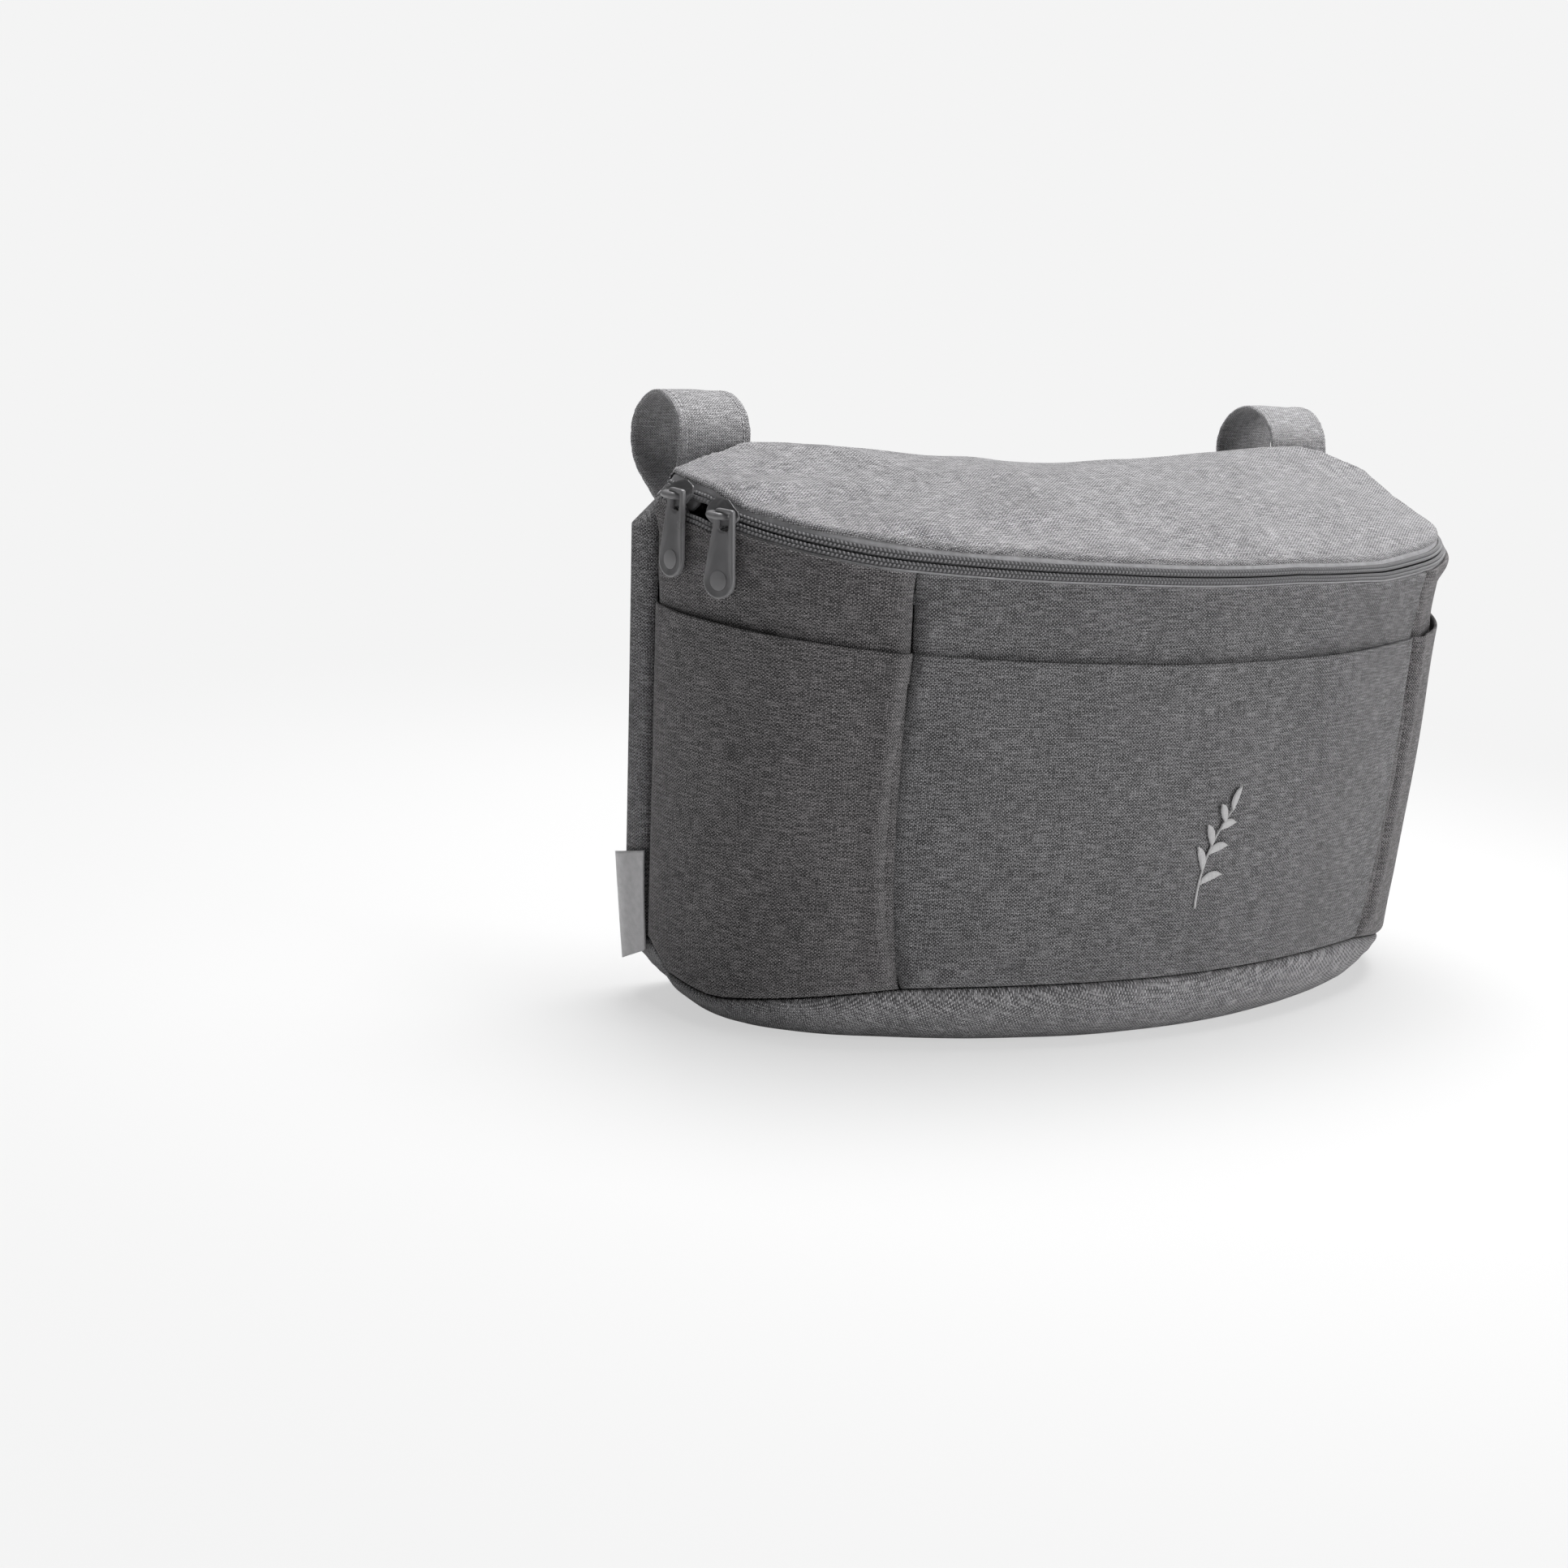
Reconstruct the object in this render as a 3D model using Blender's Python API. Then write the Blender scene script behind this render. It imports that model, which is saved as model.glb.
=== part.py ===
"""Soft organizer bag that hangs from a stroller's handlebar by two fabric loops.

Units are metres and +Z is up. The front faces -Y and the handlebar runs along X behind the bag.
The origin is on the underside of the flat base.
"""

import math

import bmesh
import bpy
from mathutils import Matrix, Vector

# Plan of the lid, measured along the sloping lid from its back edge.
LID_HALF_WIDTH = 0.1725
LID_DEPTH = 0.1195
LID_CORNER_RADIUS = 0.080
LID_REAR_RADIUS = 0.014
LID_SLOPE = math.radians(11.3)
LID_BACK_HEIGHT = 0.198
LID_CROWN = 0.004
LID_SAG = 0.0045
LID_HOLLOW = 0.003
SAG_ENDS_INSET = 0.0525
SAG_HALF_WIDTH = LID_HALF_WIDTH - SAG_ENDS_INSET
SAG_REACH = 0.060

# Plan of the body at the foot of the zip band. Its corner and front arcs share the lid's centres.
BAND_HEIGHT = 0.0086
BAND_OUTSET = 0.0045
BODY_REAR_RADIUS = 0.008
STRAIGHT_SIDE_RADIUS = 0.6

# Plan of the bottom seam and of the flat floor that the bag stands on.
SEAM_SIDE_INSET = 0.0045
SEAM_FRONT_INSET = 0.0008
SEAM_HALF_WIDTH = LID_HALF_WIDTH - SEAM_SIDE_INSET
SEAM_DEPTH = LID_DEPTH - SEAM_FRONT_INSET
SEAM_CORNER_RADIUS = 0.077
SEAM_REAR_RADIUS = 0.012
FLOOR_SIDE_INSET = 0.0230
FLOOR_FRONT_INSET = 0.0187
FLOOR_HALF_WIDTH = SEAM_HALF_WIDTH - FLOOR_SIDE_INSET
FLOOR_DEPTH = SEAM_DEPTH - FLOOR_FRONT_INSET
FLOOR_CORNER_RADIUS = 0.052
FLOOR_REAR_RADIUS = 0.020
FLOOR_BACK_INSET = 0.0040

# The back face, and how far in front of it every outline is widest.
BACK_FACE_Y = 0.060
WIDEST_FROM_BACK = 0.0220

# Heights of the bottom seam and of the pocket mouths.
SEAM_FRONT_HEIGHT = 0.0235
SEAM_REAR_HEIGHT = 0.0060
SEAM_CORNER_LIFT = 0.0090
SEAM_CORNER_REACH = 0.0450
SIDE_SEAM_DIP = 0.0030
MOUTH_BELOW_LID = 0.0565
POCKET_HEIGHT = LID_BACK_HEIGHT - MOUTH_BELOW_LID
POCKET_FRONT_SAG = 0.0020
POCKET_SIDE_RISE = 0.0040

# Where the panels meet: X on the front, and distance in front of the back face at the rear.
FRONT_SEAM_FROM_SIDE = 0.0535
FRONT_SEAM_LEAN = 0.0110
FRONT_SEAM_X_TOP = LID_HALF_WIDTH - FRONT_SEAM_FROM_SIDE
FRONT_SEAM_X_BOTTOM = FRONT_SEAM_X_TOP - FRONT_SEAM_LEAN
REAR_SEAM_FROM_BACK = 0.0185

# Cloth, lining and stiffeners.
PANEL_THICKNESS = 0.0020
POCKET_THICKNESS = 0.0014
POCKET_PROUD = 0.0008
POCKET_ROOM = 0.0075
ROOM_BLEND = 0.045
MOUTH_STEP = 0.015
LID_THICKNESS = 0.0022
LID_ABOVE_SEAM = 0.0014
LINING_THICKNESS = 0.0007
LINING_CLEARANCE = 0.0012
LINING_BELOW_BAND = 0.0018
LID_LINING_INSET = 0.0050
BOARD_THICKNESS = 0.0020
BOARD_INSET = 0.0040
BACK_BOARD_FROM_SIDE = 0.0325
BACK_BOARD_HALF_WIDTH = LID_HALF_WIDTH - BACK_BOARD_FROM_SIDE
BACK_BOARD_LOW = 0.0180
BACK_BOARD_BELOW_LID = 0.0200
BACK_BOARD_HIGH = LID_BACK_HEIGHT - BACK_BOARD_BELOW_LID
MESH_GAP = 0.0003

# Zip band between the lid seam and the panels: a coil chain on two tapes.
CHAIN_WIDTH = 0.0062
CHAIN_THICKNESS = 0.0019
CHAIN_SPLIT = 0.0009
TAPE_THICKNESS = 0.0006
TAPE_EDGE = 0.0003
TAPE_HEM = 0.0012

# Sliders, placed by how far in front of the back face they stand, and their bridges.
SLIDER_FROM_BACK = {"left": 0.0310, "right": 0.0510}
SLIDER_NOSE = {"left": 1, "right": -1}
SLIDER_LENGTH = 0.0125
SLIDER_WIDTH = 0.0086
SLIDER_TAIL_WIDTH = 0.0056
SLIDER_PLATE = 0.0013
SLIDER_BACK_PLATE = 0.0011
SLIDER_BACK_WIDTH = 0.0062
SLIDER_WEB = 0.0004
SLIDER_WEB_LENGTH = 0.0040
BRIDGE_REACH = 0.0074
BRIDGE_RADIUS = 0.0009
BRIDGE_SPAN = 0.0068

# Pull tabs.
PULLER_LENGTH = 0.0305
PULLER_TOP_WIDTH = 0.0076
PULLER_END_RADIUS = 0.0063
PULLER_THICKNESS = 0.0015
PULLER_SLOT_WIDTH = 0.0046
PULLER_SLOT_HEIGHT = 0.0060
PULLER_RIM = 0.0016
PULLER_PLAY = 0.00015

# Handlebar loops and their touch fasteners.
STRAP_FROM_SIDE = 0.0305
STRAP_CENTRE_X = LID_HALF_WIDTH - STRAP_FROM_SIDE
STRAP_WIDTH = 0.030
STRAP_THICKNESS = 0.0018
BAR_RADIUS = 0.0155
BAR_FROM_BACK = 0.0182
BAR_BELOW_LID = 0.0005
BAR_HEIGHT = LID_BACK_HEIGHT - BAR_BELOW_LID
STRAP_FOOT_DROP = 0.0095
STRAP_FOOT = BAR_HEIGHT - STRAP_FOOT_DROP
STRAP_LANDING_DROP = 0.0275
STRAP_LANDING = BAR_HEIGHT - STRAP_LANDING_DROP
STRAP_TAIL = 0.0400
STRAP_TAIL_END = STRAP_LANDING - STRAP_TAIL
PATCH_END_MARGIN = 0.0020
PATCH_LOW = STRAP_TAIL_END + PATCH_END_MARGIN
PATCH_TOP_MARGIN = 0.0040
PATCH_HIGH = STRAP_LANDING - PATCH_TOP_MARGIN
PATCH_WIDTH = 0.024
PATCH_THICKNESS = 0.0012

# Side label.
LABEL_LOW = 0.022
LABEL_HIGH = 0.056
LABEL_REACH = 0.0145
LABEL_THICKNESS = 0.0008
LABEL_LIFT = 0.0015

CLOTH_GREY = (0.130, 0.130, 0.137, 1.0)
LID_GREY = (0.215, 0.215, 0.225, 1.0)
LINING_GREY = (0.045, 0.046, 0.050, 1.0)
TAPE_GREY = (0.150, 0.150, 0.160, 1.0)
CHAIN_GREY = (0.120, 0.120, 0.128, 1.0)
HARDWARE_GREY = (0.110, 0.110, 0.115, 1.0)
BOARD_WHITE = (0.600, 0.600, 0.580, 1.0)
LABEL_GREY = (0.330, 0.330, 0.340, 1.0)
PATCH_BLACK = (0.020, 0.020, 0.021, 1.0)


def clear_scene():
    for old in list(bpy.data.objects):
        bpy.data.objects.remove(old, do_unlink=True)


def make_material(name, colour, roughness, metallic=0.0):
    material = bpy.data.materials.new(name)
    material.use_nodes = True
    shader = material.node_tree.nodes["Principled BSDF"]
    shader.inputs["Base Color"].default_value = colour
    shader.inputs["Roughness"].default_value = roughness
    shader.inputs["Metallic"].default_value = metallic
    return material


def add_object(name, bm, material):
    mesh = bpy.data.meshes.new(name)
    bm.to_mesh(mesh)
    bm.free()
    mesh.materials.append(material)
    mesh.shade_smooth()
    mesh.set_sharp_from_angle(angle=math.radians(40))
    thing = bpy.data.objects.new(name, mesh)
    bpy.context.scene.collection.objects.link(thing)
    return thing


def blend(low, high, share):
    return low + (high - low) * share


def smooth(share):
    share = min(1.0, max(0.0, share))
    return share * share * (3 - 2 * share)


class Outline:
    """A plan outline of tangent arcs, symmetric about X = 0 and closed by a straight back edge.

    Y is 0 on the back edge and negative towards the front. Each half is a rear arc, a side arc,
    a corner arc that starts at the widest point, WIDEST_FROM_BACK, and half of the front arc.
    """

    def __init__(self, half_width, depth, side_radius, corner_radius, rear_radius):
        corner = Vector((corner_radius - half_width, -WIDEST_FROM_BACK))
        side = Vector((side_radius - half_width, -WIDEST_FROM_BACK))
        run = depth - WIDEST_FROM_BACK
        front_radius = (corner.x**2 + run**2 - corner_radius**2) / (2 * (run - corner_radius))
        turn = math.asin((WIDEST_FROM_BACK - rear_radius) / (side_radius - rear_radius))
        rear = side + (side_radius - rear_radius) * Vector((-math.cos(turn), math.sin(turn)))
        sweep = math.atan2(front_radius - run, -corner.x)
        self.back_half = -rear.x
        self.arcs = [
            (rear, rear_radius, math.pi / 2, math.pi - turn),
            (side, side_radius, math.pi - turn, math.pi),
            (corner, corner_radius, math.pi, math.pi + sweep),
            (Vector((0, front_radius - depth)), front_radius, math.pi + sweep, 1.5 * math.pi),
        ]

    def lengths(self):
        return [radius * (last - first) for _, radius, first, last in self.arcs]

    def at(self, section, share):
        """Point and outward normal on the left half, at a share of one of its four arcs."""
        centre, radius, first, last = self.arcs[section]
        angle = blend(first, last, share)
        normal = Vector((math.cos(angle), math.sin(angle)))
        return centre + radius * normal, normal


LID = Outline(LID_HALF_WIDTH, LID_DEPTH, LID_CORNER_RADIUS, LID_CORNER_RADIUS, LID_REAR_RADIUS)
BODY = Outline(
    LID_HALF_WIDTH + BAND_OUTSET,
    LID_DEPTH + BAND_OUTSET,
    STRAIGHT_SIDE_RADIUS,
    LID_CORNER_RADIUS + BAND_OUTSET,
    BODY_REAR_RADIUS,
)
SEAM = Outline(SEAM_HALF_WIDTH, SEAM_DEPTH, STRAIGHT_SIDE_RADIUS, SEAM_CORNER_RADIUS, SEAM_REAR_RADIUS)
FLOOR = Outline(
    FLOOR_HALF_WIDTH, FLOOR_DEPTH, STRAIGHT_SIDE_RADIUS, FLOOR_CORNER_RADIUS, FLOOR_REAR_RADIUS
)

# Girth is measured along the lid seam, from the left end of the back edge round the front
# to its right end, and on along the back edge to where it began.
HALF_GIRTH = sum(LID.lengths())
GIRTH = 2 * HALF_GIRTH
RING = GIRTH + 2 * LID.back_half


def plan(outline, girth):
    """Point and outward normal on an outline at a girth."""
    girth = girth % RING
    if girth > GIRTH:
        share = (girth - GIRTH) / (RING - GIRTH)
        return Vector((blend(outline.back_half, -outline.back_half, share), 0)), Vector((0, 1))
    mirrored = girth > HALF_GIRTH
    left = GIRTH - girth if mirrored else girth
    lengths = LID.lengths()
    section = 0
    while section < 3 and left > lengths[section]:
        left -= lengths[section]
        section += 1
    point, normal = outline.at(section, min(1.0, left / lengths[section]))
    if mirrored:
        point.x, normal.x = -point.x, -normal.x
    return point, normal


def girth_from_back(outline, distance):
    """The girth on the left side at which an outline lies this far in front of its back edge."""
    low, high = 0.0, HALF_GIRTH
    for _ in range(40):
        middle = (low + high) / 2
        if -plan(outline, middle)[0].y > distance:
            high = middle
        else:
            low = middle
    return high


def settle(x, along):
    """How the middle of the back edge sags and hollows forwards, fading out towards the front."""
    if abs(x) >= SAG_HALF_WIDTH or along < -SAG_REACH:
        return Vector((0, 0, 0))
    fade = min(1.0, 1 + along / SAG_REACH)
    weight = math.cos(0.5 * math.pi * x / SAG_HALF_WIDTH) ** 2 * fade**2
    return Vector((0, -LID_HOLLOW * weight, -LID_SAG * weight))


LID_ALONG = Vector((0, math.cos(LID_SLOPE), math.sin(LID_SLOPE)))
LID_NORMAL = Vector((0, -math.sin(LID_SLOPE), math.cos(LID_SLOPE)))
LID_BACK = Vector((0, BACK_FACE_Y, LID_BACK_HEIGHT))
BAND_SLANT = math.hypot(BAND_HEIGHT, BAND_OUTSET)
BAND_MIDDLE = BAND_SLANT / 2


def on_lid_plane(spot, below):
    across = Vector((spot.x, 0, 0))
    return LID_BACK + across + LID_ALONG * spot.y - LID_NORMAL * below + settle(spot.x, spot.y)


def band_point(girth, down, inward):
    """A point of the zip band: down its slant from the lid seam, and inward from its outer face.

    The band leans out round the front and sides, and stands upright on the back.
    """
    point, normal = plan(LID, girth)
    foot, _ = plan(BODY, girth)
    lean = math.atan2((foot - point).dot(normal), BAND_HEIGHT)
    below = down * BAND_HEIGHT / BAND_SLANT + inward * math.sin(lean)
    upright = smooth(normal.y) * below * math.tan(LID_SLOPE)
    spot = point.lerp(foot, down / BAND_SLANT)
    return on_lid_plane(spot - (inward * math.cos(lean) + upright) * normal, below)


def front_seam(rise):
    """Girth of the seam between the left side and the front, which leans in towards the bottom."""
    _, seam_radius, seam_first, seam_last = SEAM.arcs[3]
    low_share = math.asin(FRONT_SEAM_X_BOTTOM / seam_radius) / (seam_last - seam_first)
    low = HALF_GIRTH - LID.lengths()[3] * low_share
    top = HALF_GIRTH - LID.arcs[3][1] * math.asin(FRONT_SEAM_X_TOP / BODY.arcs[3][1])
    return blend(low, top, rise)


REAR_SEAM = girth_from_back(BODY, REAR_SEAM_FROM_BACK)

# Grid steps round a closed outline: each rear corner, each side, the front and the back edge.
CORNER_STEPS = 5
SIDE_STEPS = 11
FRONT_STEPS = 14
BACK_STEPS = 8
REAR_TO_REAR_STEPS = 2 * SIDE_STEPS + FRONT_STEPS
RING_STEPS = 2 * CORNER_STEPS + REAR_TO_REAR_STEPS + BACK_STEPS


def ring_girth(step):
    """Girth at a grid step, counted from the left end of the back edge."""
    stations = [
        (0, 0.0),
        (CORNER_STEPS, REAR_SEAM),
        (CORNER_STEPS + SIDE_STEPS, front_seam(0)),
        (CORNER_STEPS + SIDE_STEPS + FRONT_STEPS, GIRTH - front_seam(0)),
        (CORNER_STEPS + REAR_TO_REAR_STEPS, GIRTH - REAR_SEAM),
        (RING_STEPS - BACK_STEPS, GIRTH),
        (RING_STEPS, RING),
        (RING_STEPS + CORNER_STEPS, RING + REAR_SEAM),
    ]
    for (first_step, first), (last_step, last) in zip(stations, stations[1:]):
        if step <= last_step:
            return blend(first, last, (step - first_step) / (last_step - first_step))
    return RING + REAR_SEAM


def to_left(girth):
    """The matching girth on the left half."""
    girth = girth % RING
    return min(girth, GIRTH - girth)


def seam_height(girth):
    """Height of the bottom seam: high in front, falling to the rear, with a dip under each side pocket."""
    point, _ = plan(SEAM, girth)
    rise = blend(SEAM_REAR_HEIGHT, SEAM_FRONT_HEIGHT, smooth(-point.y / SEAM_DEPTH))
    past = to_left(girth) - REAR_SEAM
    across = past / (front_seam(0) - REAR_SEAM)
    if 0 < across < 1:
        rise -= SIDE_SEAM_DIP * math.sin(math.pi * across)
    return rise + SEAM_CORNER_LIFT * (1 - smooth(past / SEAM_CORNER_REACH))


def wall_point(girth, rise, inward):
    """A point of the bag's wall: rise is 0 on the bottom seam and 1 at the lower edge of the zip band."""
    low, normal = plan(SEAM, girth)
    bottom = Vector((low.x, BACK_FACE_Y + low.y, seam_height(girth)))
    spot = bottom.lerp(band_point(girth, BAND_SLANT, 0), rise)
    return spot - inward * Vector((normal.x, normal.y, 0))


def wall_height(girth):
    return band_point(girth, BAND_SLANT, 0).z - seam_height(girth)


def rise_at(girth, height):
    return (height - seam_height(girth)) / wall_height(girth)


def pocket_mouth(girth):
    """Rise of the pocket mouths: they sag a little in front and lift towards the rear."""
    side = to_left(girth)
    seam = front_seam(1)
    if side > seam:
        sag = POCKET_FRONT_SAG * math.sin(0.5 * math.pi * (side - seam) / (HALF_GIRTH - seam))
        return rise_at(girth, POCKET_HEIGHT - sag)
    lift = POCKET_SIDE_RISE * (seam - side) / (seam - REAR_SEAM)
    return rise_at(girth, POCKET_HEIGHT + lift)


def panel_face(girth, rise):
    """Depth of a panel's outer face: flush above the pocket mouth, and standing back behind the pocket."""
    side = to_left(girth)
    if side < REAR_SEAM:
        return 0.0
    height = wall_height(girth)
    mouth = pocket_mouth(girth)
    edge = min(abs(side - front_seam(rise)), side - REAR_SEAM)
    room = smooth(edge / ROOM_BLEND) * smooth(rise * height / ROOM_BLEND) * smooth((1 - rise) / (1 - mouth))
    behind = smooth(((mouth - rise) * height + MOUTH_STEP) / MOUTH_STEP)
    return POCKET_ROOM * room + (POCKET_THICKNESS - POCKET_PROUD + MESH_GAP) * behind


def sheet(name, surface, across, down, outer, inner, material, ring=False):
    """A closed slab: a grid laid on surface(u, v, depth) at two depths and joined round its edges."""
    bm = bmesh.new()
    bmesh.ops.create_grid(bm, x_segments=across, y_segments=down, size=0.5)
    u_layer = bm.verts.layers.float.new("u")
    v_layer = bm.verts.layers.float.new("v")
    for vert in bm.verts:
        vert[u_layer] = vert.co.x + 0.5
        vert[v_layer] = vert.co.y + 0.5
        vert.co = surface(vert[u_layer], vert[v_layer], outer)
    if ring:
        bmesh.ops.remove_doubles(bm, verts=bm.verts, dist=1e-6)
    outside = set(bm.verts)
    bmesh.ops.extrude_face_region(bm, geom=bm.faces[:], use_keep_orig=True)
    for vert in bm.verts:
        if vert not in outside:
            vert.co = surface(vert[u_layer], vert[v_layer], inner)
    bmesh.ops.recalc_face_normals(bm, faces=bm.faces[:])
    return add_object(name, bm, material)


def wall_patch(first, last, low, high, face=None):
    """A surface on the wall between two seams, given by rise, and two edges, given by girth."""

    def surface(u, v, depth):
        rise = v
        for _ in range(3):
            girth = blend(first(rise), last(rise), u)
            rise = blend(low(girth), high(girth), v)
        return wall_point(girth, rise, depth + (face(girth, rise) if face else 0))

    return surface


def lid_surface(inset):
    """The lid from its rim (v = 0) to its middle (v = 1), at a depth below the lid seam."""

    def surface(u, v, below):
        point, normal = plan(LID, ring_girth(u * RING_STEPS))
        spot = (point - inset * normal).lerp(Vector((0, -LID_DEPTH / 2)), v)
        return on_lid_plane(spot, below - LID_CROWN * (1 - (1 - v) ** 2))

    return surface


def floor_plan(girth):
    point, normal = plan(FLOOR, girth)
    return point - Vector((0, FLOOR_BACK_INSET)), normal


def base_surface(u, v, depth):
    """The base from the bottom seam round its soft edge (v up to a half) and in over the flat floor."""
    girth = ring_girth(u * RING_STEPS)
    rim, normal = plan(SEAM, girth)
    flat, _ = floor_plan(girth)
    height = seam_height(girth) - MESH_GAP
    angle = min(1.0, 2 * v) * math.pi / 2
    spot = rim.lerp(flat, 1 - math.cos(angle)) - normal * depth * math.cos(angle)
    spot = spot.lerp(Vector((0, -SEAM_DEPTH / 2)), max(0.0, 2 * v - 1))
    return Vector((spot.x, BACK_FACE_Y + spot.y, height * (1 - math.sin(angle)) + depth * math.sin(angle)))


def board_surface(u, v, height):
    """The flat stiffener in the base, from its rim to its middle."""
    point, normal = floor_plan(ring_girth(u * RING_STEPS))
    spot = (point - normal * BOARD_INSET).lerp(Vector((0, -SEAM_DEPTH / 2)), v)
    return Vector((spot.x, BACK_FACE_Y + spot.y, height))


BOARD_TOP = PANEL_THICKNESS + MESH_GAP + BOARD_THICKNESS
LINING_WALL_SHARE = 0.6
LINING_FOOT_SHARE = 0.7


def lining_surface(u, v, depth):
    """The lining: down the walls, slanting in over the base's soft edge, and across the base board."""
    girth = ring_girth(u * RING_STEPS)
    _, normal = plan(SEAM, girth)
    back = smooth(normal.y)
    top = 1 - LINING_BELOW_BAND / wall_height(girth)
    rise = top * (1 - min(1.0, v / LINING_WALL_SHARE))
    clear = PANEL_THICKNESS + LINING_CLEARANCE + back * (BOARD_THICKNESS + MESH_GAP)
    wall = wall_point(girth, rise, clear + panel_face(girth, rise) + depth)
    if v <= LINING_WALL_SHARE:
        return wall
    foot_plan, _ = floor_plan(girth)
    foot_plan = foot_plan - normal * (BOARD_INSET + MESH_GAP)
    level = BOARD_TOP + MESH_GAP + depth
    foot = Vector((foot_plan.x, BACK_FACE_Y + foot_plan.y, level))
    middle = Vector((0, BACK_FACE_Y - SEAM_DEPTH / 2, level))
    if v <= LINING_FOOT_SHARE:
        return wall.lerp(foot, (v - LINING_WALL_SHARE) / (LINING_FOOT_SHARE - LINING_WALL_SHARE))
    return foot.lerp(middle, (v - LINING_FOOT_SHARE) / (1 - LINING_FOOT_SHARE))


BACK_WALL_SHARE = 0.9
BACK_PANEL_STEPS = 2 * CORNER_STEPS + BACK_STEPS


def back_surface(u, v, depth):
    """The back panel: round both rear corners, and up past the ends of the zip to the lid."""
    girth = ring_girth(CORNER_STEPS + REAR_TO_REAR_STEPS + u * BACK_PANEL_STEPS)
    girth = min(max(girth, GIRTH - REAR_SEAM + MESH_GAP / 2), RING + REAR_SEAM - MESH_GAP / 2)
    if v <= BACK_WALL_SHARE:
        return wall_point(girth, v / BACK_WALL_SHARE, depth)
    top = (LID_THICKNESS - LID_ABOVE_SEAM + MESH_GAP) * BAND_SLANT / BAND_HEIGHT
    share = (v - BACK_WALL_SHARE) / (1 - BACK_WALL_SHARE)
    _, normal = plan(LID, girth)
    edge = wall_point(girth, 1, depth)
    rim = band_point(girth, top, 0)
    return edge.lerp(rim - depth * Vector((normal.x, normal.y, 0)), share)


def back_board_surface(u, v, depth):
    """The stiffener behind the back panel: it follows the hollow of the back."""
    x = blend(BACK_BOARD_HALF_WIDTH, -BACK_BOARD_HALF_WIDTH, u)
    girth = GIRTH + (RING - GIRTH) * (0.5 - 0.5 * x / LID.back_half)
    rise = rise_at(girth, blend(BACK_BOARD_LOW, BACK_BOARD_HIGH, v))
    spot = wall_point(girth, rise, PANEL_THICKNESS + MESH_GAP + depth)
    return spot


def band_strip(first_down, last_down):
    """A strip of the zip band that runs from one rear seam round the front to the other."""
    first = REAR_SEAM + MESH_GAP / 2

    def surface(u, v, depth):
        return band_point(blend(first, GIRTH - first, u), blend(first_down, last_down, v), depth)

    return surface


def strap_path():
    """Centre line of a strap in the YZ plane, as points with normals that face the bar."""
    radius = BAR_RADIUS + STRAP_THICKNESS / 2
    centre = Vector((BACK_FACE_Y + BAR_FROM_BACK, BAR_HEIGHT))
    front = BACK_FACE_Y + BAR_FROM_BACK - radius
    tail = BACK_FACE_Y + 2 * PATCH_THICKNESS + 3 * MESH_GAP + STRAP_THICKNESS / 2
    foot = Vector((front, STRAP_FOOT))
    reach = math.hypot(centre.x - tail, centre.y - STRAP_LANDING)
    leave = math.atan2(STRAP_LANDING - centre.y, tail - centre.x) + math.acos(radius / reach)
    first, last = math.pi, leave - 2 * math.pi if leave > 0 else leave
    stations = [(foot, Vector((1, 0)))]
    steps = 28
    for step in range(steps + 1):
        angle = blend(first, last, step / steps)
        outward = Vector((math.cos(angle), math.sin(angle)))
        stations.append((centre + radius * outward, -outward))
    stations.append((Vector((tail, STRAP_LANDING)), Vector((1, 0.35)).normalized()))
    stations.append((Vector((tail, STRAP_TAIL_END)), Vector((1, 0))))
    return stations


def strap_surface(centre_x):
    stations = strap_path()

    def surface(u, v, depth):
        spot, inward = stations[round(v * (len(stations) - 1))]
        spot = spot + inward * depth
        return Vector((centre_x + (u - 0.5) * STRAP_WIDTH, spot.x, spot.y))

    return surface, len(stations) - 1


def patch_surface(centre_x, from_back):
    def surface(u, v, depth):
        x = centre_x + (u - 0.5) * PATCH_WIDTH
        return Vector((x, BACK_FACE_Y + from_back + depth, blend(PATCH_LOW, PATCH_HIGH, v)))

    return surface


def slider_frame(side):
    """Girth of a slider, and its bridge's frame: middle, outward, along the chain and up."""
    girth = girth_from_back(LID, SLIDER_FROM_BACK[side])
    _, normal = plan(LID, girth)
    outward = Vector((normal.x, normal.y, 0))
    along = Vector((-normal.y, normal.x, 0))
    return girth, band_point(girth, BAND_MIDDLE, 0), outward, along


def band_block(side, length, width, tail_width, low, high):
    """A curved block over the chain: it keeps the chain's own arc, so that it can slide round it."""
    girth = slider_frame(side)[0]
    bm = bmesh.new()
    bmesh.ops.create_grid(bm, x_segments=6, y_segments=1, size=0.5)
    base = set(bm.verts)
    bmesh.ops.extrude_face_region(bm, geom=bm.faces[:], use_keep_orig=True)
    for vert in bm.verts:
        depth = low if vert in base else high
        to_nose = SLIDER_NOSE[side] * vert.co.x + 0.5
        wide = blend(tail_width, width, smooth(1.6 * to_nose))
        vert.co = band_point(girth + vert.co.x * length, BAND_MIDDLE + vert.co.y * wide, depth)
    bmesh.ops.recalc_face_normals(bm, faces=bm.faces[:])
    return bm


def rod(first, last, radius):
    axis = last - first
    bm = bmesh.new()
    bmesh.ops.create_cone(
        bm, cap_ends=True, segments=12, radius1=radius, radius2=radius, depth=axis.length
    )
    turn = axis.to_track_quat("Z", "Y").to_matrix().to_4x4()
    bmesh.ops.transform(bm, matrix=Matrix.Translation((first + last) / 2) @ turn, verts=bm.verts)
    return bm


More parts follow.
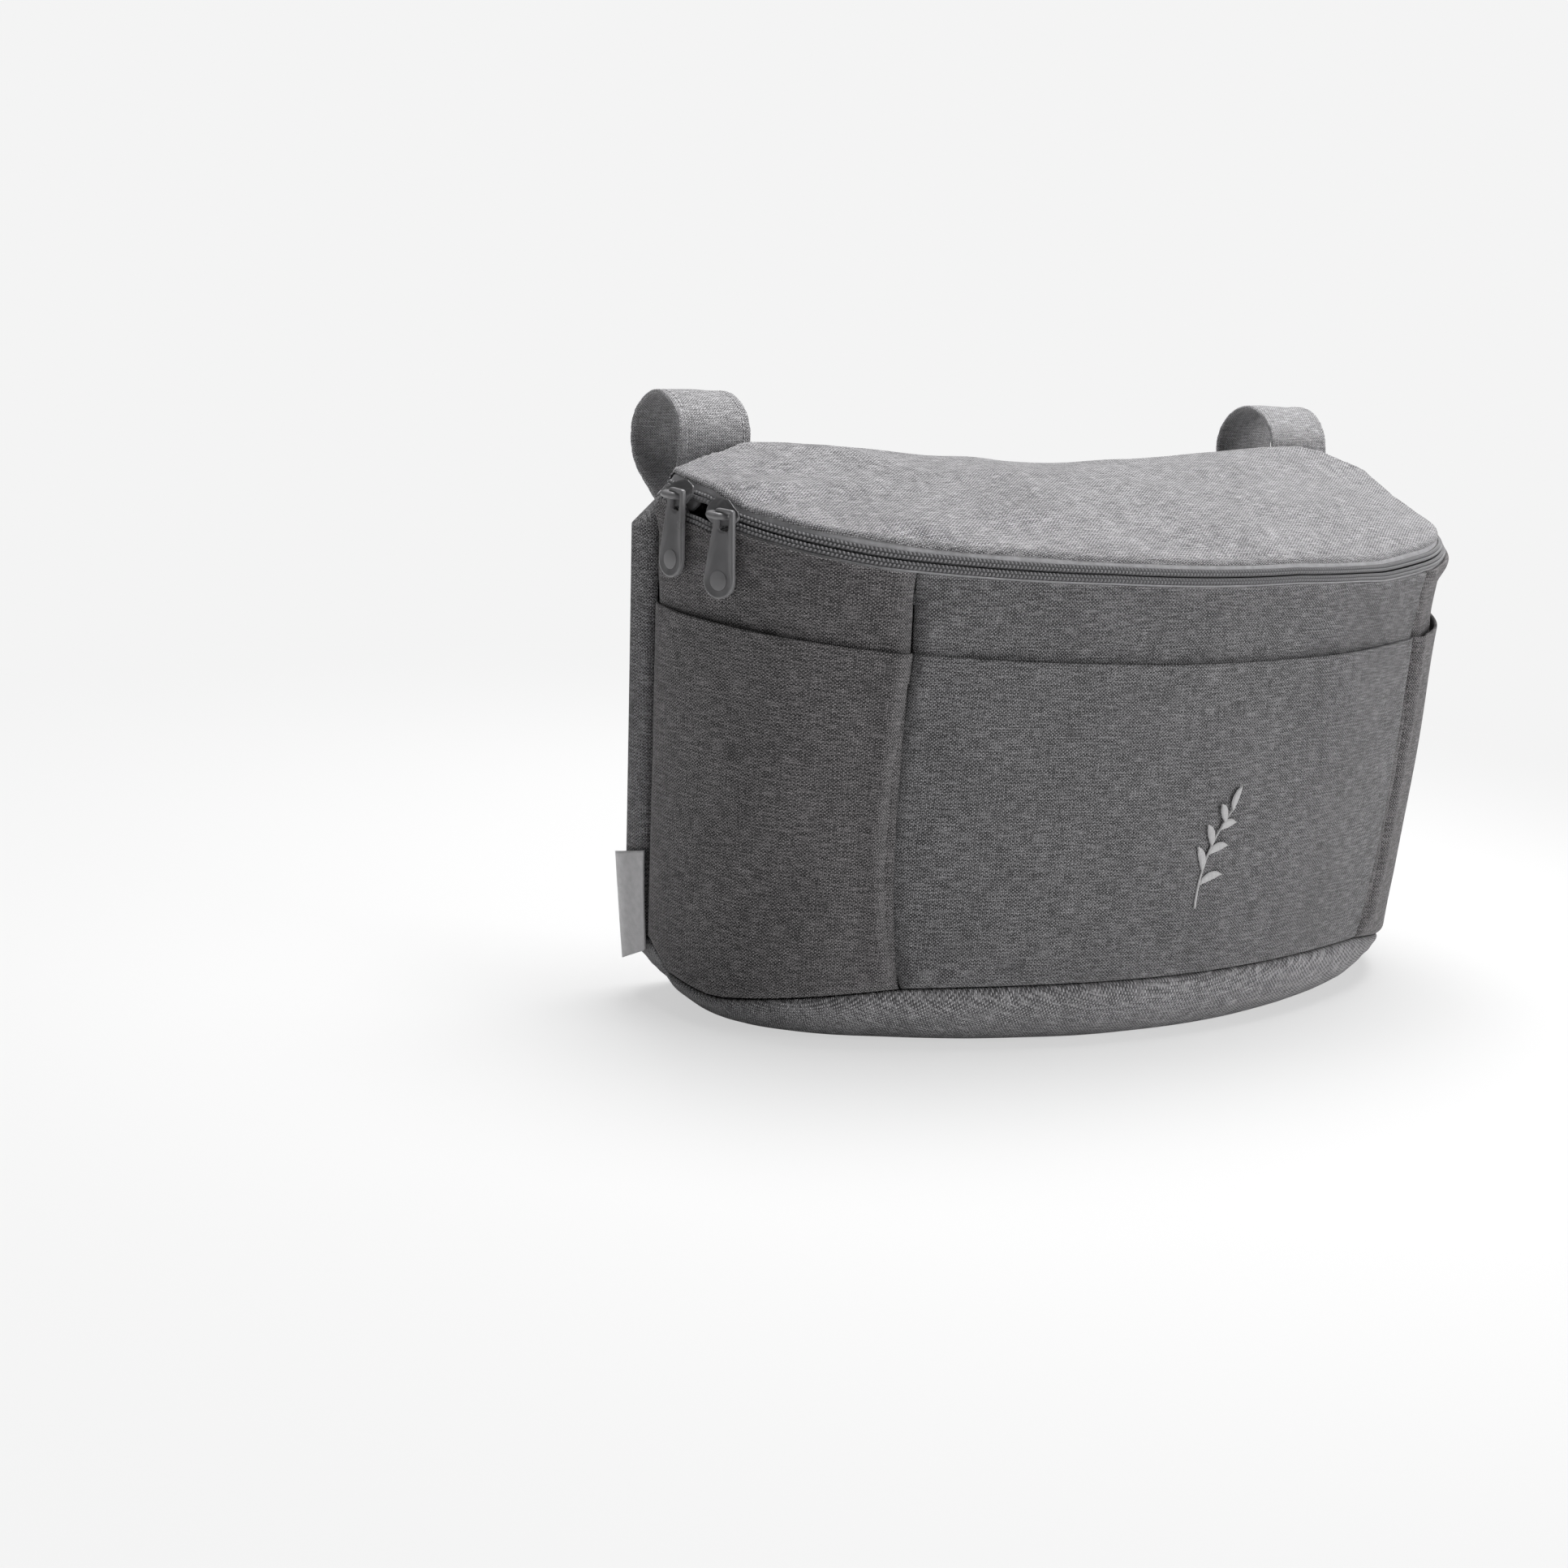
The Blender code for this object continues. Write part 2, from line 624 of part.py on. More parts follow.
def join(name, shapes, material):
    """One solid from overlapping shapes: the first carries the node's name, the others are hidden guides."""
    body = add_object(name, shapes[0], material)
    for number, shape in enumerate(shapes[1:], 1):
        guide = add_object(f"{name}_guide_{number}", shape, material)
        guide.hide_render = True
        guide.display_type = "WIRE"
        union = body.modifiers.new(f"join_{number}", "BOOLEAN")
        union.operation = "UNION"
        union.solver = "EXACT"
        union.object = guide
    return body


def make_slider(side, material):
    _, middle, outward, along = slider_frame(side)
    under = CHAIN_THICKNESS + TAPE_THICKNESS + 2 * MESH_GAP
    sunk = SLIDER_PLATE / 2
    half = along * BRIDGE_SPAN / 2
    top = outward * (BRIDGE_REACH - BRIDGE_RADIUS)
    foot = outward * (MESH_GAP + sunk)
    over = along * BRIDGE_RADIUS
    shapes = [
        band_block(side, SLIDER_LENGTH, SLIDER_WIDTH, SLIDER_TAIL_WIDTH, -MESH_GAP - SLIDER_PLATE, -MESH_GAP),
        band_block(side, SLIDER_WEB_LENGTH, SLIDER_WEB, SLIDER_WEB, -MESH_GAP - sunk, under + SLIDER_BACK_PLATE / 2),
        band_block(side, SLIDER_LENGTH, SLIDER_BACK_WIDTH, SLIDER_BACK_WIDTH, under, under + SLIDER_BACK_PLATE),
        rod(middle - half + foot, middle - half + top, BRIDGE_RADIUS),
        rod(middle + half + foot, middle + half + top, BRIDGE_RADIUS),
        rod(middle - half + top - over, middle + half + top + over, BRIDGE_RADIUS),
    ]
    return join(f"slider_{side}", shapes, material)


def puller_edge(u):
    """Half outlines of the pull tab in its own plane: across, and down from the pivot."""
    top = BRIDGE_RADIUS + PULLER_PLAY + PULLER_RIM
    end = top - PULLER_LENGTH + PULLER_END_RADIUS
    corners = [
        Vector((0, top)),
        Vector((PULLER_TOP_WIDTH / 2, top)),
        Vector((PULLER_END_RADIUS, end)),
    ]
    mirrored = u > 0.5
    share = 2 * (1 - u if mirrored else u)
    if share < 0.15:
        spot = corners[0].lerp(corners[1], share / 0.15)
    elif share < 0.65:
        spot = corners[1].lerp(corners[2], (share - 0.15) / 0.5)
    else:
        angle = -0.5 * math.pi * (share - 0.65) / 0.35
        spot = Vector((math.cos(angle), math.sin(angle))) * PULLER_END_RADIUS + Vector((0, end))
    if mirrored:
        spot.x = -spot.x
    return spot


def puller_surface(side):
    """The pull tab as a ring from its slot (v = 0) to its edge (v = 1), hanging on the bridge's front leg."""
    _, middle, outward, along = slider_frame(side)
    pivot = middle + along * BRIDGE_SPAN / 2
    slot_top = BRIDGE_RADIUS + PULLER_PLAY
    centre = Vector((0, slot_top - PULLER_SLOT_HEIGHT / 2))

    def surface(u, v, depth):
        edge = puller_edge(u)
        ray = edge - centre
        reach = min(
            PULLER_SLOT_WIDTH / 2 / max(abs(ray.x), 1e-9), PULLER_SLOT_HEIGHT / 2 / max(abs(ray.y), 1e-9)
        )
        spot = (centre + ray * reach).lerp(edge, v)
        return pivot + along * spot.x + Vector((0, 0, spot.y)) + outward * depth

    return surface


def label_surface(u, v, depth):
    """The folded label: sewn into the left rear seam, lying back over the rear corner."""
    girth = blend(REAR_SEAM - MESH_GAP, REAR_SEAM - LABEL_REACH, u)
    rise = rise_at(girth, blend(LABEL_LOW, LABEL_HIGH, v))
    lift = LABEL_LIFT * u * u * (1.6 - v)
    return wall_point(girth, rise, -MESH_GAP - lift - depth)


def main():
    clear_scene()
    cloth = make_material("cloth", CLOTH_GREY, 0.9)
    lid_cloth = make_material("lid_cloth", LID_GREY, 0.9)
    lining = make_material("lining", LINING_GREY, 0.8)
    tape = make_material("zip_tape", TAPE_GREY, 0.85)
    chain = make_material("zip_chain", CHAIN_GREY, 0.45)
    hardware = make_material("hardware", HARDWARE_GREY, 0.4)
    board = make_material("board", BOARD_WHITE, 0.8)
    satin = make_material("label_satin", LABEL_GREY, 0.5)
    fastener = make_material("touch_fastener", PATCH_BLACK, 0.9)

    seam_half = MESH_GAP / 2
    rear = REAR_SEAM + seam_half

    def flat(value):
        return lambda _: value

    def left_seam(rise):
        return front_seam(rise) - seam_half

    def front_left(rise):
        return front_seam(rise) + seam_half

    def front_right(rise):
        return GIRTH - front_left(rise)

    sheet("base_panel", base_surface, RING_STEPS, 8, 0, PANEL_THICKNESS, cloth, ring=True)
    sheet("base_board", board_surface, RING_STEPS, 2, PANEL_THICKNESS + MESH_GAP, BOARD_TOP, board, ring=True)
    sheet("back_panel", back_surface, BACK_PANEL_STEPS, 10, 0, PANEL_THICKNESS, cloth)
    sheet("back_board", back_board_surface, 12, 6, 0, BOARD_THICKNESS, board)
    sheet("body_lining", lining_surface, RING_STEPS, 20, 0, LINING_THICKNESS, lining, ring=True)

    panel = wall_patch(front_left, front_right, flat(0), flat(1), panel_face)
    sheet("front_panel", panel, FRONT_STEPS, 12, 0, PANEL_THICKNESS, cloth)
    pocket = wall_patch(front_left, front_right, flat(0), pocket_mouth)
    sheet("front_pocket", pocket, FRONT_STEPS, 8, -POCKET_PROUD, POCKET_THICKNESS - POCKET_PROUD, cloth)

    sides = {
        "left": (flat(rear), left_seam),
        "right": (lambda rise: GIRTH - left_seam(rise), flat(GIRTH - rear)),
    }
    for side, (first, last) in sides.items():
        panel = wall_patch(first, last, flat(0), flat(1), panel_face)
        sheet(f"side_panel_{side}", panel, SIDE_STEPS, 12, 0, PANEL_THICKNESS, cloth)
        pocket = wall_patch(first, last, flat(0), pocket_mouth)
        sheet(f"side_pocket_{side}", pocket, SIDE_STEPS, 8, -POCKET_PROUD, POCKET_THICKNESS - POCKET_PROUD, cloth)

    lid_under = LID_THICKNESS - LID_ABOVE_SEAM
    sheet("lid_panel", lid_surface(0), RING_STEPS, 5, -LID_ABOVE_SEAM, lid_under, lid_cloth, ring=True)
    sheet(
        "lid_lining",
        lid_surface(LID_LINING_INSET),
        RING_STEPS,
        4,
        lid_under + MESH_GAP,
        lid_under + MESH_GAP + LINING_THICKNESS,
        lining,
        ring=True,
    )

    tape_top = CHAIN_THICKNESS + MESH_GAP
    upper = BAND_MIDDLE - CHAIN_SPLIT / 2
    lower = BAND_MIDDLE + CHAIN_SPLIT / 2
    strips = {
        "zip_tape_upper": (TAPE_EDGE, upper, tape_top, tape_top + TAPE_THICKNESS, tape),
        "zip_tape_lower": (lower, BAND_SLANT - TAPE_HEM, tape_top, tape_top + TAPE_THICKNESS, tape),
        "zip_coil_upper": (BAND_MIDDLE - CHAIN_WIDTH / 2, upper, 0, CHAIN_THICKNESS, chain),
        "zip_coil_lower": (lower, BAND_MIDDLE + CHAIN_WIDTH / 2, 0, CHAIN_THICKNESS, chain),
    }
    for name, (first, last, outer, inner, material) in strips.items():
        sheet(name, band_strip(first, last), 64, 1, outer, inner, material)

    for side in ("left", "right"):
        make_slider(side, hardware)
        low = BRIDGE_REACH - 2 * BRIDGE_RADIUS - MESH_GAP - PULLER_THICKNESS
        sheet(
            f"puller_{side}", puller_surface(side), 28, 2, low + PULLER_THICKNESS, low, hardware, ring=True
        )

    for side, turned in (("left", -1), ("right", 1)):
        centre_x = turned * STRAP_CENTRE_X
        surface, stations = strap_surface(centre_x)
        sheet(f"strap_{side}", surface, 1, stations, -STRAP_THICKNESS / 2, STRAP_THICKNESS / 2, lid_cloth)
        loop_patch = patch_surface(centre_x, MESH_GAP)
        sheet(f"loop_patch_{side}", loop_patch, 2, 3, PATCH_THICKNESS, 0, fastener)
        hook_patch = patch_surface(centre_x, PATCH_THICKNESS + 2 * MESH_GAP)
        sheet(f"hook_patch_{side}", hook_patch, 2, 3, PATCH_THICKNESS, 0, fastener)

    sheet("side_label", label_surface, 5, 5, LABEL_THICKNESS, 0, satin)


main()
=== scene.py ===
"""The looks of a soft stroller organizer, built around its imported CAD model."""

import math

import bmesh
import bpy
import numpy as np
from mathutils import Matrix, Vector


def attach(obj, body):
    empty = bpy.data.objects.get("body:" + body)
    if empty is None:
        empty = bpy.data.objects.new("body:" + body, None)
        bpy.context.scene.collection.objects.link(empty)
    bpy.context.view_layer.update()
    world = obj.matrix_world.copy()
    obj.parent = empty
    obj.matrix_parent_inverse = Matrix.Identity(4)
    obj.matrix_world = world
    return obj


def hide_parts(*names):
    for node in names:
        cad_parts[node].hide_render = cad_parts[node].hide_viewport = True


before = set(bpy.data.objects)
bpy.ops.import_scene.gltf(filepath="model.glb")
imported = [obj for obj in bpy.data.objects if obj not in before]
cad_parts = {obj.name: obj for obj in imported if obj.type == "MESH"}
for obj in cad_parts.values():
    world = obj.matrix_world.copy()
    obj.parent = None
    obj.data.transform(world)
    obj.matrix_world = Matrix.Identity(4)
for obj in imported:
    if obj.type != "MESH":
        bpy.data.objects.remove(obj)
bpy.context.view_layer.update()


# The camera stands at the bag's front left, a little above it, and leans as the photograph does.
# It has a 66 mm lens on a 36 mm wide square picture.
camera = bpy.data.objects.new("camera", bpy.data.cameras.new("camera"))
bpy.context.scene.collection.objects.link(camera)
camera.data.sensor_width = 36.0
camera.data.lens = 3562.54 / 1932 * 36.0
camera_right = Vector((0.82780239, -0.5535624, 0.09116949))
camera_down = Vector((-0.05206403, -0.23760639, -0.96996523))
camera_ahead = camera_right.cross(camera_down)
camera_turn = Matrix((camera_right, -camera_down, -camera_ahead)).transposed()
camera.matrix_world = Matrix.Translation((-0.700353, -0.798316, 0.314155)) @ camera_turn.to_4x4()
bpy.context.scene.camera = camera


# The studio is a pale floor that runs out to a pale surround, under broad soft lamps.
# The camera sees most of the floor as plain light, so that only a soft shadow shows on it.
bpy.context.scene.view_settings.view_transform = "Standard"
PAPER_WHITE = (0.905, 0.905, 0.905, 1.0)


def add_node(owner, kind, inputs=None, **settings):
    """Adds a shader node to a material or world. Its inputs are values or other nodes' outputs."""
    tree = owner.node_tree
    node = tree.nodes.new("ShaderNode" + kind)
    for setting, value in settings.items():
        setattr(node, setting, value)
    for socket, value in (inputs or {}).items():
        if isinstance(value, bpy.types.NodeSocket):
            tree.links.new(value, node.inputs[socket])
        else:
            node.inputs[socket].default_value = value
    return node


world = bpy.data.worlds.new("surround")
bpy.context.scene.world = world
world.use_nodes = True
sky_light = world.node_tree.nodes["Background"]
sky_light.inputs["Color"].default_value = (1.0, 1.0, 1.0, 1.0)
sky_light.inputs["Strength"].default_value = 0.13
sky_seen = add_node(world, "Background", {"Color": PAPER_WHITE})
seen = add_node(world, "LightPath").outputs["Is Camera Ray"]
sky_mix = add_node(world, "MixShader", {0: seen, 1: sky_light.outputs[0], 2: sky_seen.outputs[0]})
world.node_tree.links.new(sky_mix.outputs[0], world.node_tree.nodes["World Output"].inputs["Surface"])

floor_shape = bmesh.new()
bmesh.ops.create_grid(floor_shape, x_segments=1, y_segments=1, size=30.0)
floor_mesh = bpy.data.meshes.new("floor")
floor_shape.to_mesh(floor_mesh)
floor_shape.free()
floor = bpy.data.objects.new("floor", floor_mesh)
bpy.context.scene.collection.objects.link(floor)
floor_paper = bpy.data.materials.new("floor_paper")
floor_paper.use_nodes = True
paper_shader = floor_paper.node_tree.nodes["Principled BSDF"]
paper_shader.inputs["Base Color"].default_value = (0.82, 0.82, 0.82, 1.0)
paper_shader.inputs["Roughness"].default_value = 0.9
paper_glow = add_node(floor_paper, "Emission", {"Color": PAPER_WHITE})
spot = add_node(floor_paper, "NewGeometry").outputs["Position"]
far = add_node(floor_paper, "VectorMath", {0: spot}, operation="LENGTH").outputs["Value"]
fade = {"Value": far, "From Min": 0.15, "From Max": 0.65, "To Min": 0.62, "To Max": 1.0}
faded = add_node(floor_paper, "MapRange", fade, interpolation_type="SMOOTHSTEP").outputs[0]
seen = add_node(floor_paper, "LightPath").outputs["Is Camera Ray"]
share = add_node(floor_paper, "Math", {0: seen, 1: faded}, operation="MULTIPLY").outputs[0]
both = {0: share, 1: paper_shader.outputs[0], 2: paper_glow.outputs[0]}
paper_mix = add_node(floor_paper, "MixShader", both)
paper_out = floor_paper.node_tree.nodes["Material Output"]
floor_paper.node_tree.links.new(paper_mix.outputs[0], paper_out.inputs["Surface"])
floor.data.materials.append(floor_paper)

for lamp_name, place, aim, width, power in (
    ("lamp_above", (0.25, 0.30, 1.55), (0.0, 0.0, 0.12), 1.2, 40.0),
    ("lamp_right", (0.9, -1.3, 0.45), (0.05, 0.0, 0.08), 0.9, 13.6),
    ("lamp_left", (-1.2, 0.5, 0.7), (-0.1, 0.0, 0.1), 0.5, 0.5),
):
    lamp = bpy.data.objects.new(lamp_name, bpy.data.lights.new(lamp_name, "AREA"))
    bpy.context.scene.collection.objects.link(lamp)
    lamp.data.size = width
    lamp.data.energy = power
    lamp.location = place
    lamp.rotation_euler = (Vector(aim) - Vector(place)).to_track_quat("-Z", "Y").to_euler()


# The bag's plan: the lid seam, the top and the bottom of the wall, and the flat of the base are
# outlines of four tangent arcs a side and a straight back, all symmetric about X = 0. Girth is the
# length round the lid seam from the left end of the back edge, by the front.
BACK_Y = 0.060
WIDEST = 0.0220
LID_DEPTH = 0.1195
WALL_DEPTH = 0.1187
ARC_STEPS = 60


def half_outline(half_width, depth, side_radius, corner_radius, rear_radius):
    """Points and outward normals down the left half of an outline, and the lengths of its arcs."""
    corner_x = corner_radius - half_width
    side_x = side_radius - half_width
    run = depth - WIDEST
    front_radius = (corner_x**2 + run**2 - corner_radius**2) / (2 * (run - corner_radius))
    turn = math.asin((WIDEST - rear_radius) / (side_radius - rear_radius))
    sweep = math.atan2(front_radius - run, -corner_x)
    reach = side_radius - rear_radius
    rear = (side_x - reach * math.cos(turn), reach * math.sin(turn) - WIDEST)
    arcs = (
        (rear, rear_radius, math.pi / 2, math.pi - turn),
        ((side_x, -WIDEST), side_radius, math.pi - turn, math.pi),
        ((corner_x, -WIDEST), corner_radius, math.pi, math.pi + sweep),
        ((0, front_radius - depth), front_radius, math.pi + sweep, 1.5 * math.pi),
    )
    parts = []
    for centre, radius, first, last in arcs:
        angle = np.linspace(first, last, ARC_STEPS)
        normal = np.stack([np.cos(angle), np.sin(angle)])
        parts.append(np.vstack([np.array(centre)[:, None] + radius * normal, normal]))
    return np.hstack(parts), [radius * (last - first) for _, radius, first, last in arcs]


LID_HALF, LID_ARCS = half_outline(0.1725, LID_DEPTH, 0.080, 0.080, 0.014)
TOP_HALF, _ = half_outline(0.1770, 0.1240, 0.600, 0.0845, 0.008)
SEAM_HALF, _ = half_outline(0.1680, WALL_DEPTH, 0.600, 0.077, 0.012)
FLAT_HALF, _ = half_outline(0.1450, 0.1000, 0.600, 0.052, 0.020)
HALF_GIRTH = sum(LID_ARCS)
GIRTH = 2 * HALF_GIRTH
RING = GIRTH - 2 * LID_HALF[0][0]
arc_ends = np.concatenate([[0], np.cumsum(LID_ARCS)])
left_stations = np.concatenate([np.linspace(a, b, ARC_STEPS) for a, b in zip(arc_ends, arc_ends[1:])])
STATIONS = np.concatenate([left_stations, GIRTH - left_stations[::-1], [GIRTH, RING]])


def whole_outline(half):
    mirrored = half[:, ::-1] * np.array([[-1], [1], [-1], [1]])
    ends = np.array([[-half[0][0], half[0][0]], [0, 0], [0, 0], [1, 1]])
    return np.hstack([half, mirrored, ends])


LID_LINE = whole_outline(LID_HALF)
TOP_LINE = whole_outline(TOP_HALF)
SEAM_LINE = whole_outline(SEAM_HALF)
FLAT_LINE = whole_outline(FLAT_HALF)


def plan(line, girth):
    """X and Y of an outline at a girth, and its outward normal."""
    x, y, nx, ny = (np.interp(np.mod(girth, RING), STATIONS, row) for row in line)
    size = np.hypot(nx, ny)
    return x, y, nx / size, ny / size


def smooth(share):
    share = np.clip(share, 0.0, 1.0)
    return share * share * (3 - 2 * share)


def to_left(girth):
    """The matching girth on the left half."""
    girth = np.mod(girth, RING)
    return np.minimum(girth, GIRTH - girth)


# The lid plane slopes down to the front. The middle of its back edge sags and is hollow.
SLOPE = math.radians(11.3)
LID_BACK_HEIGHT = 0.198
SAG_HALF = 0.120
SAG_DEPTH = 0.0060
SAG_HOLLOW = 0.0030
CORNER_DROP = 0.016


def settle(x, along):
    """How the lid plane gives way, forward and up: its back edge sags and its rear corners drop."""
    weight = np.cos(0.5 * math.pi * np.clip(x / SAG_HALF, -1, 1)) ** 2
    weight = weight * np.clip(1 + along / 0.060, 0, 1) ** 2
    past = np.maximum(0.419 * (np.abs(x) - np.where(x > 0, 0.150, 0.130)) + 0.908 * (along + 0.001), 0)
    corner = CORNER_DROP * (1 - np.exp(-((past / 0.007) ** 1.3)))
    return -SAG_HOLLOW * weight, -SAG_DEPTH * weight - corner


def on_lid(x, along, below):
    """World points of the lid plane, at a depth below it."""
    forward, sag = settle(x, along)
    y = BACK_Y + along * math.cos(SLOPE) + below * math.sin(SLOPE) + forward
    z = LID_BACK_HEIGHT + along * math.sin(SLOPE) - below * math.cos(SLOPE) + sag
    return np.stack([x, y, z], axis=-1)


# The zip band slants out and down from the lid seam to the top of the wall. Between the two
# sliders the zip is open, so there the wall's edge drops and the band gapes.
BAND_HEIGHT = 0.0086
BAND_SLANT = math.hypot(BAND_HEIGHT, 0.0045)
GAPE_GIRTH = 0.0500
GAPE_HALF = 0.0135
GAPE_DROP = 0.0036


def gape(girth):
    """Share of the zip's opening at a girth: full between the sliders, and none away from them."""
    return smooth(1.7 * (1 - np.abs(np.mod(girth, RING) - GAPE_GIRTH) / GAPE_HALF))


# The bag has slumped unevenly. The tables give the millimetres by which the lid seam and the wall's
# top hang lower, and by which the right end is pulled in, at stations round the girth.
SLUMP_AT = (
    0.0, 0.0276, 0.035, 0.050, 0.065, 0.080, 0.098, 0.115, 0.200, 0.285, 0.322, 0.340, 0.366,
    0.396, 0.420, 0.444, 0.464, 0.480, 0.5006, 0.520, 0.565, 0.800,
)
LID_SLUMP = (
    2.0, 3.0, 2.6, 0.8, 2.8, 2.4, 1.6, 1.2, -0.4, 0.2, 2.2, 3.4, 4.0,
    4.6, 7.2, 8.8, 8.6, 5.6, 0.6, -1.8, 0.0, 0.0,
)
TOP_SLUMP = (
    1.5, 4.6, 4.2, 3.0, 3.2, 2.7, 2.3, 2.1, -0.4, -0.4, 1.7, 3.4, 4.0,
    4.4, 5.8, 7.0, 6.8, 4.8, 1.0, -1.0, 0.0, 0.0,
)
PULL_AT = (0.322, 0.340, 0.366, 0.396, 0.420, 0.444, 0.464, 0.480, 0.5006)
LID_PULL = (0.0, 0.6, 1.8, 2.3, 2.6, 2.6, 2.4, 2.0, 0.0)
TOP_PULL = (0.0, 0.2, 0.6, 0.8, 0.9, 0.9, 0.8, 0.6, 0.0)


def slump(girth, table):
    """Metres from a table of millimetres; along the back edge it runs on evenly from end to end."""
    return 0.001 * np.interp(np.mod(girth, RING), (*SLUMP_AT, RING), (*table, table[0]))


def pull(girth, table):
    return 0.001 * np.interp(np.mod(girth, RING), PULL_AT, table)


def band(girth, down, inward):
    """World points of the band: down its slant, and inward from its outer face."""
    lx, ly, nx, ny = plan(LID_LINE, girth)
    tx, ty, _, _ = plan(TOP_LINE, girth)
    lid_pull = pull(girth, LID_PULL)
    top_pull = pull(girth, TOP_PULL)
    lx, ly = lx - lid_pull * nx, ly - lid_pull * ny
    tx, ty = tx - top_pull * nx, ty - top_pull * ny
    lean = np.arctan2((tx - lx) * nx + (ty - ly) * ny, BAND_HEIGHT)
    below = down * BAND_HEIGHT / BAND_SLANT + inward * np.sin(lean)
    upright = smooth(ny) * below * math.tan(SLOPE)
    share = down / BAND_SLANT
    shift = inward * np.cos(lean) + upright
    points = on_lid(lx + share * (tx - lx) - shift * nx, ly + share * (ty - ly) - shift * ny, below)
    lid_drop = slump(girth, LID_SLUMP)
    points[..., 2] -= lid_drop + share * (slump(girth, TOP_SLUMP) - lid_drop)
    return points


# The wall runs from the bottom seam up to the band. The seams between its panels: the rear seams,
# and the front seams, which lean in towards the bottom.
def girth_where(half, row, value):
    """Girth on the left half where a row of an outline, which falls or rises steadily, has a value."""
    order = np.argsort(half[row])
    return float(np.interp(value, half[row][order], left_stations[order]))


front_part = slice(3 * ARC_STEPS, None)
FRONT_SEAM_LOW = float(np.interp(-0.110, SEAM_HALF[0][front_part], left_stations[front_part]))
FRONT_SEAM_TOP = float(np.interp(-0.1220, TOP_HALF[0][front_part], left_stations[front_part]))
REAR_SEAM = girth_where(TOP_HALF, 1, -0.0185)


def front_seam(rise):
    return FRONT_SEAM_LOW + (FRONT_SEAM_TOP - FRONT_SEAM_LOW) * rise


def seam_height(girth):
    """Height of the bottom seam: high in front, low at the sides, and lifting at the rear corners."""
    _, y, _, _ = plan(SEAM_LINE, girth)
    past = to_left(girth) - REAR_SEAM
    across = np.clip(past / (FRONT_SEAM_LOW - REAR_SEAM), 0, 1)
    height = 0.0060 + 0.0175 * smooth(-y / WALL_DEPTH) - 0.0030 * np.sin(math.pi * across)
    return height + 0.0090 * (1 - smooth(past / 0.045)) + 0.0075 * (1 - smooth(past / 0.018))


def wall_top(girth):
    return band(girth, np.full_like(girth, BAND_SLANT), np.zeros_like(girth))


def wall(girth, height, inward):
    """World points of the wall at a height, and inward from its face."""
    x, y, nx, ny = plan(SEAM_LINE, girth)
    low = np.stack([x, BACK_Y + y, seam_height(girth)], axis=-1)
    high = wall_top(girth)
    rise = (height - low[..., 2]) / (high[..., 2] - low[..., 2])
    spot = low + rise[..., None] * (high - low)
    return spot - inward[..., None] * np.stack([nx, ny, 0 * nx], axis=-1)


def pocket_height(girth):
    """Height of the pocket mouths: they sag a little in front and lift towards the rear."""
    side = to_left(girth)
    seam = FRONT_SEAM_TOP
    sag = 0.0020 * np.sin(0.5 * math.pi * np.clip((side - seam) / (HALF_GIRTH - seam), 0, 1))
    lift = 0.0040 * np.clip((seam - side) / (seam - REAR_SEAM), 0, 1)
    return 0.1415 - sag + lift


# Melange cloth: a plain weave of mixed light and dark grey yarn. Warp and weft pass over each other
# every 0.71 by 0.60 mm, and both have slubs, longer stretches of paler or darker fibre.
WARP_PITCH = 0.00071
WEFT_PITCH = 0.00060


def new_material(name):
    """A material with nodes, and its shader."""
    material = bpy.data.materials.new(name)
    material.use_nodes = True
    return material, material.node_tree.nodes["Principled BSDF"]


def colour_by(material, shader, fac, low, dark, high, light):
    """Colours a shader by a field, from dark at low to light at high."""
    ramp = add_node(material, "ValToRGB", {"Fac": fac})
    ramp.color_ramp.elements[0].position = low
    ramp.color_ramp.elements[0].color = dark
    ramp.color_ramp.elements[1].position = high
    ramp.color_ramp.elements[1].color = light
    material.node_tree.links.new(ramp.outputs["Color"], shader.inputs["Base Color"])


def raise_by(material, shader, height, strength, distance):
    """Roughens a shader's surface by a field."""
    bump = add_node(material, "Bump", {"Strength": strength, "Distance": distance, "Height": height})
    material.node_tree.links.new(bump.outputs["Normal"], shader.inputs["Normal"])


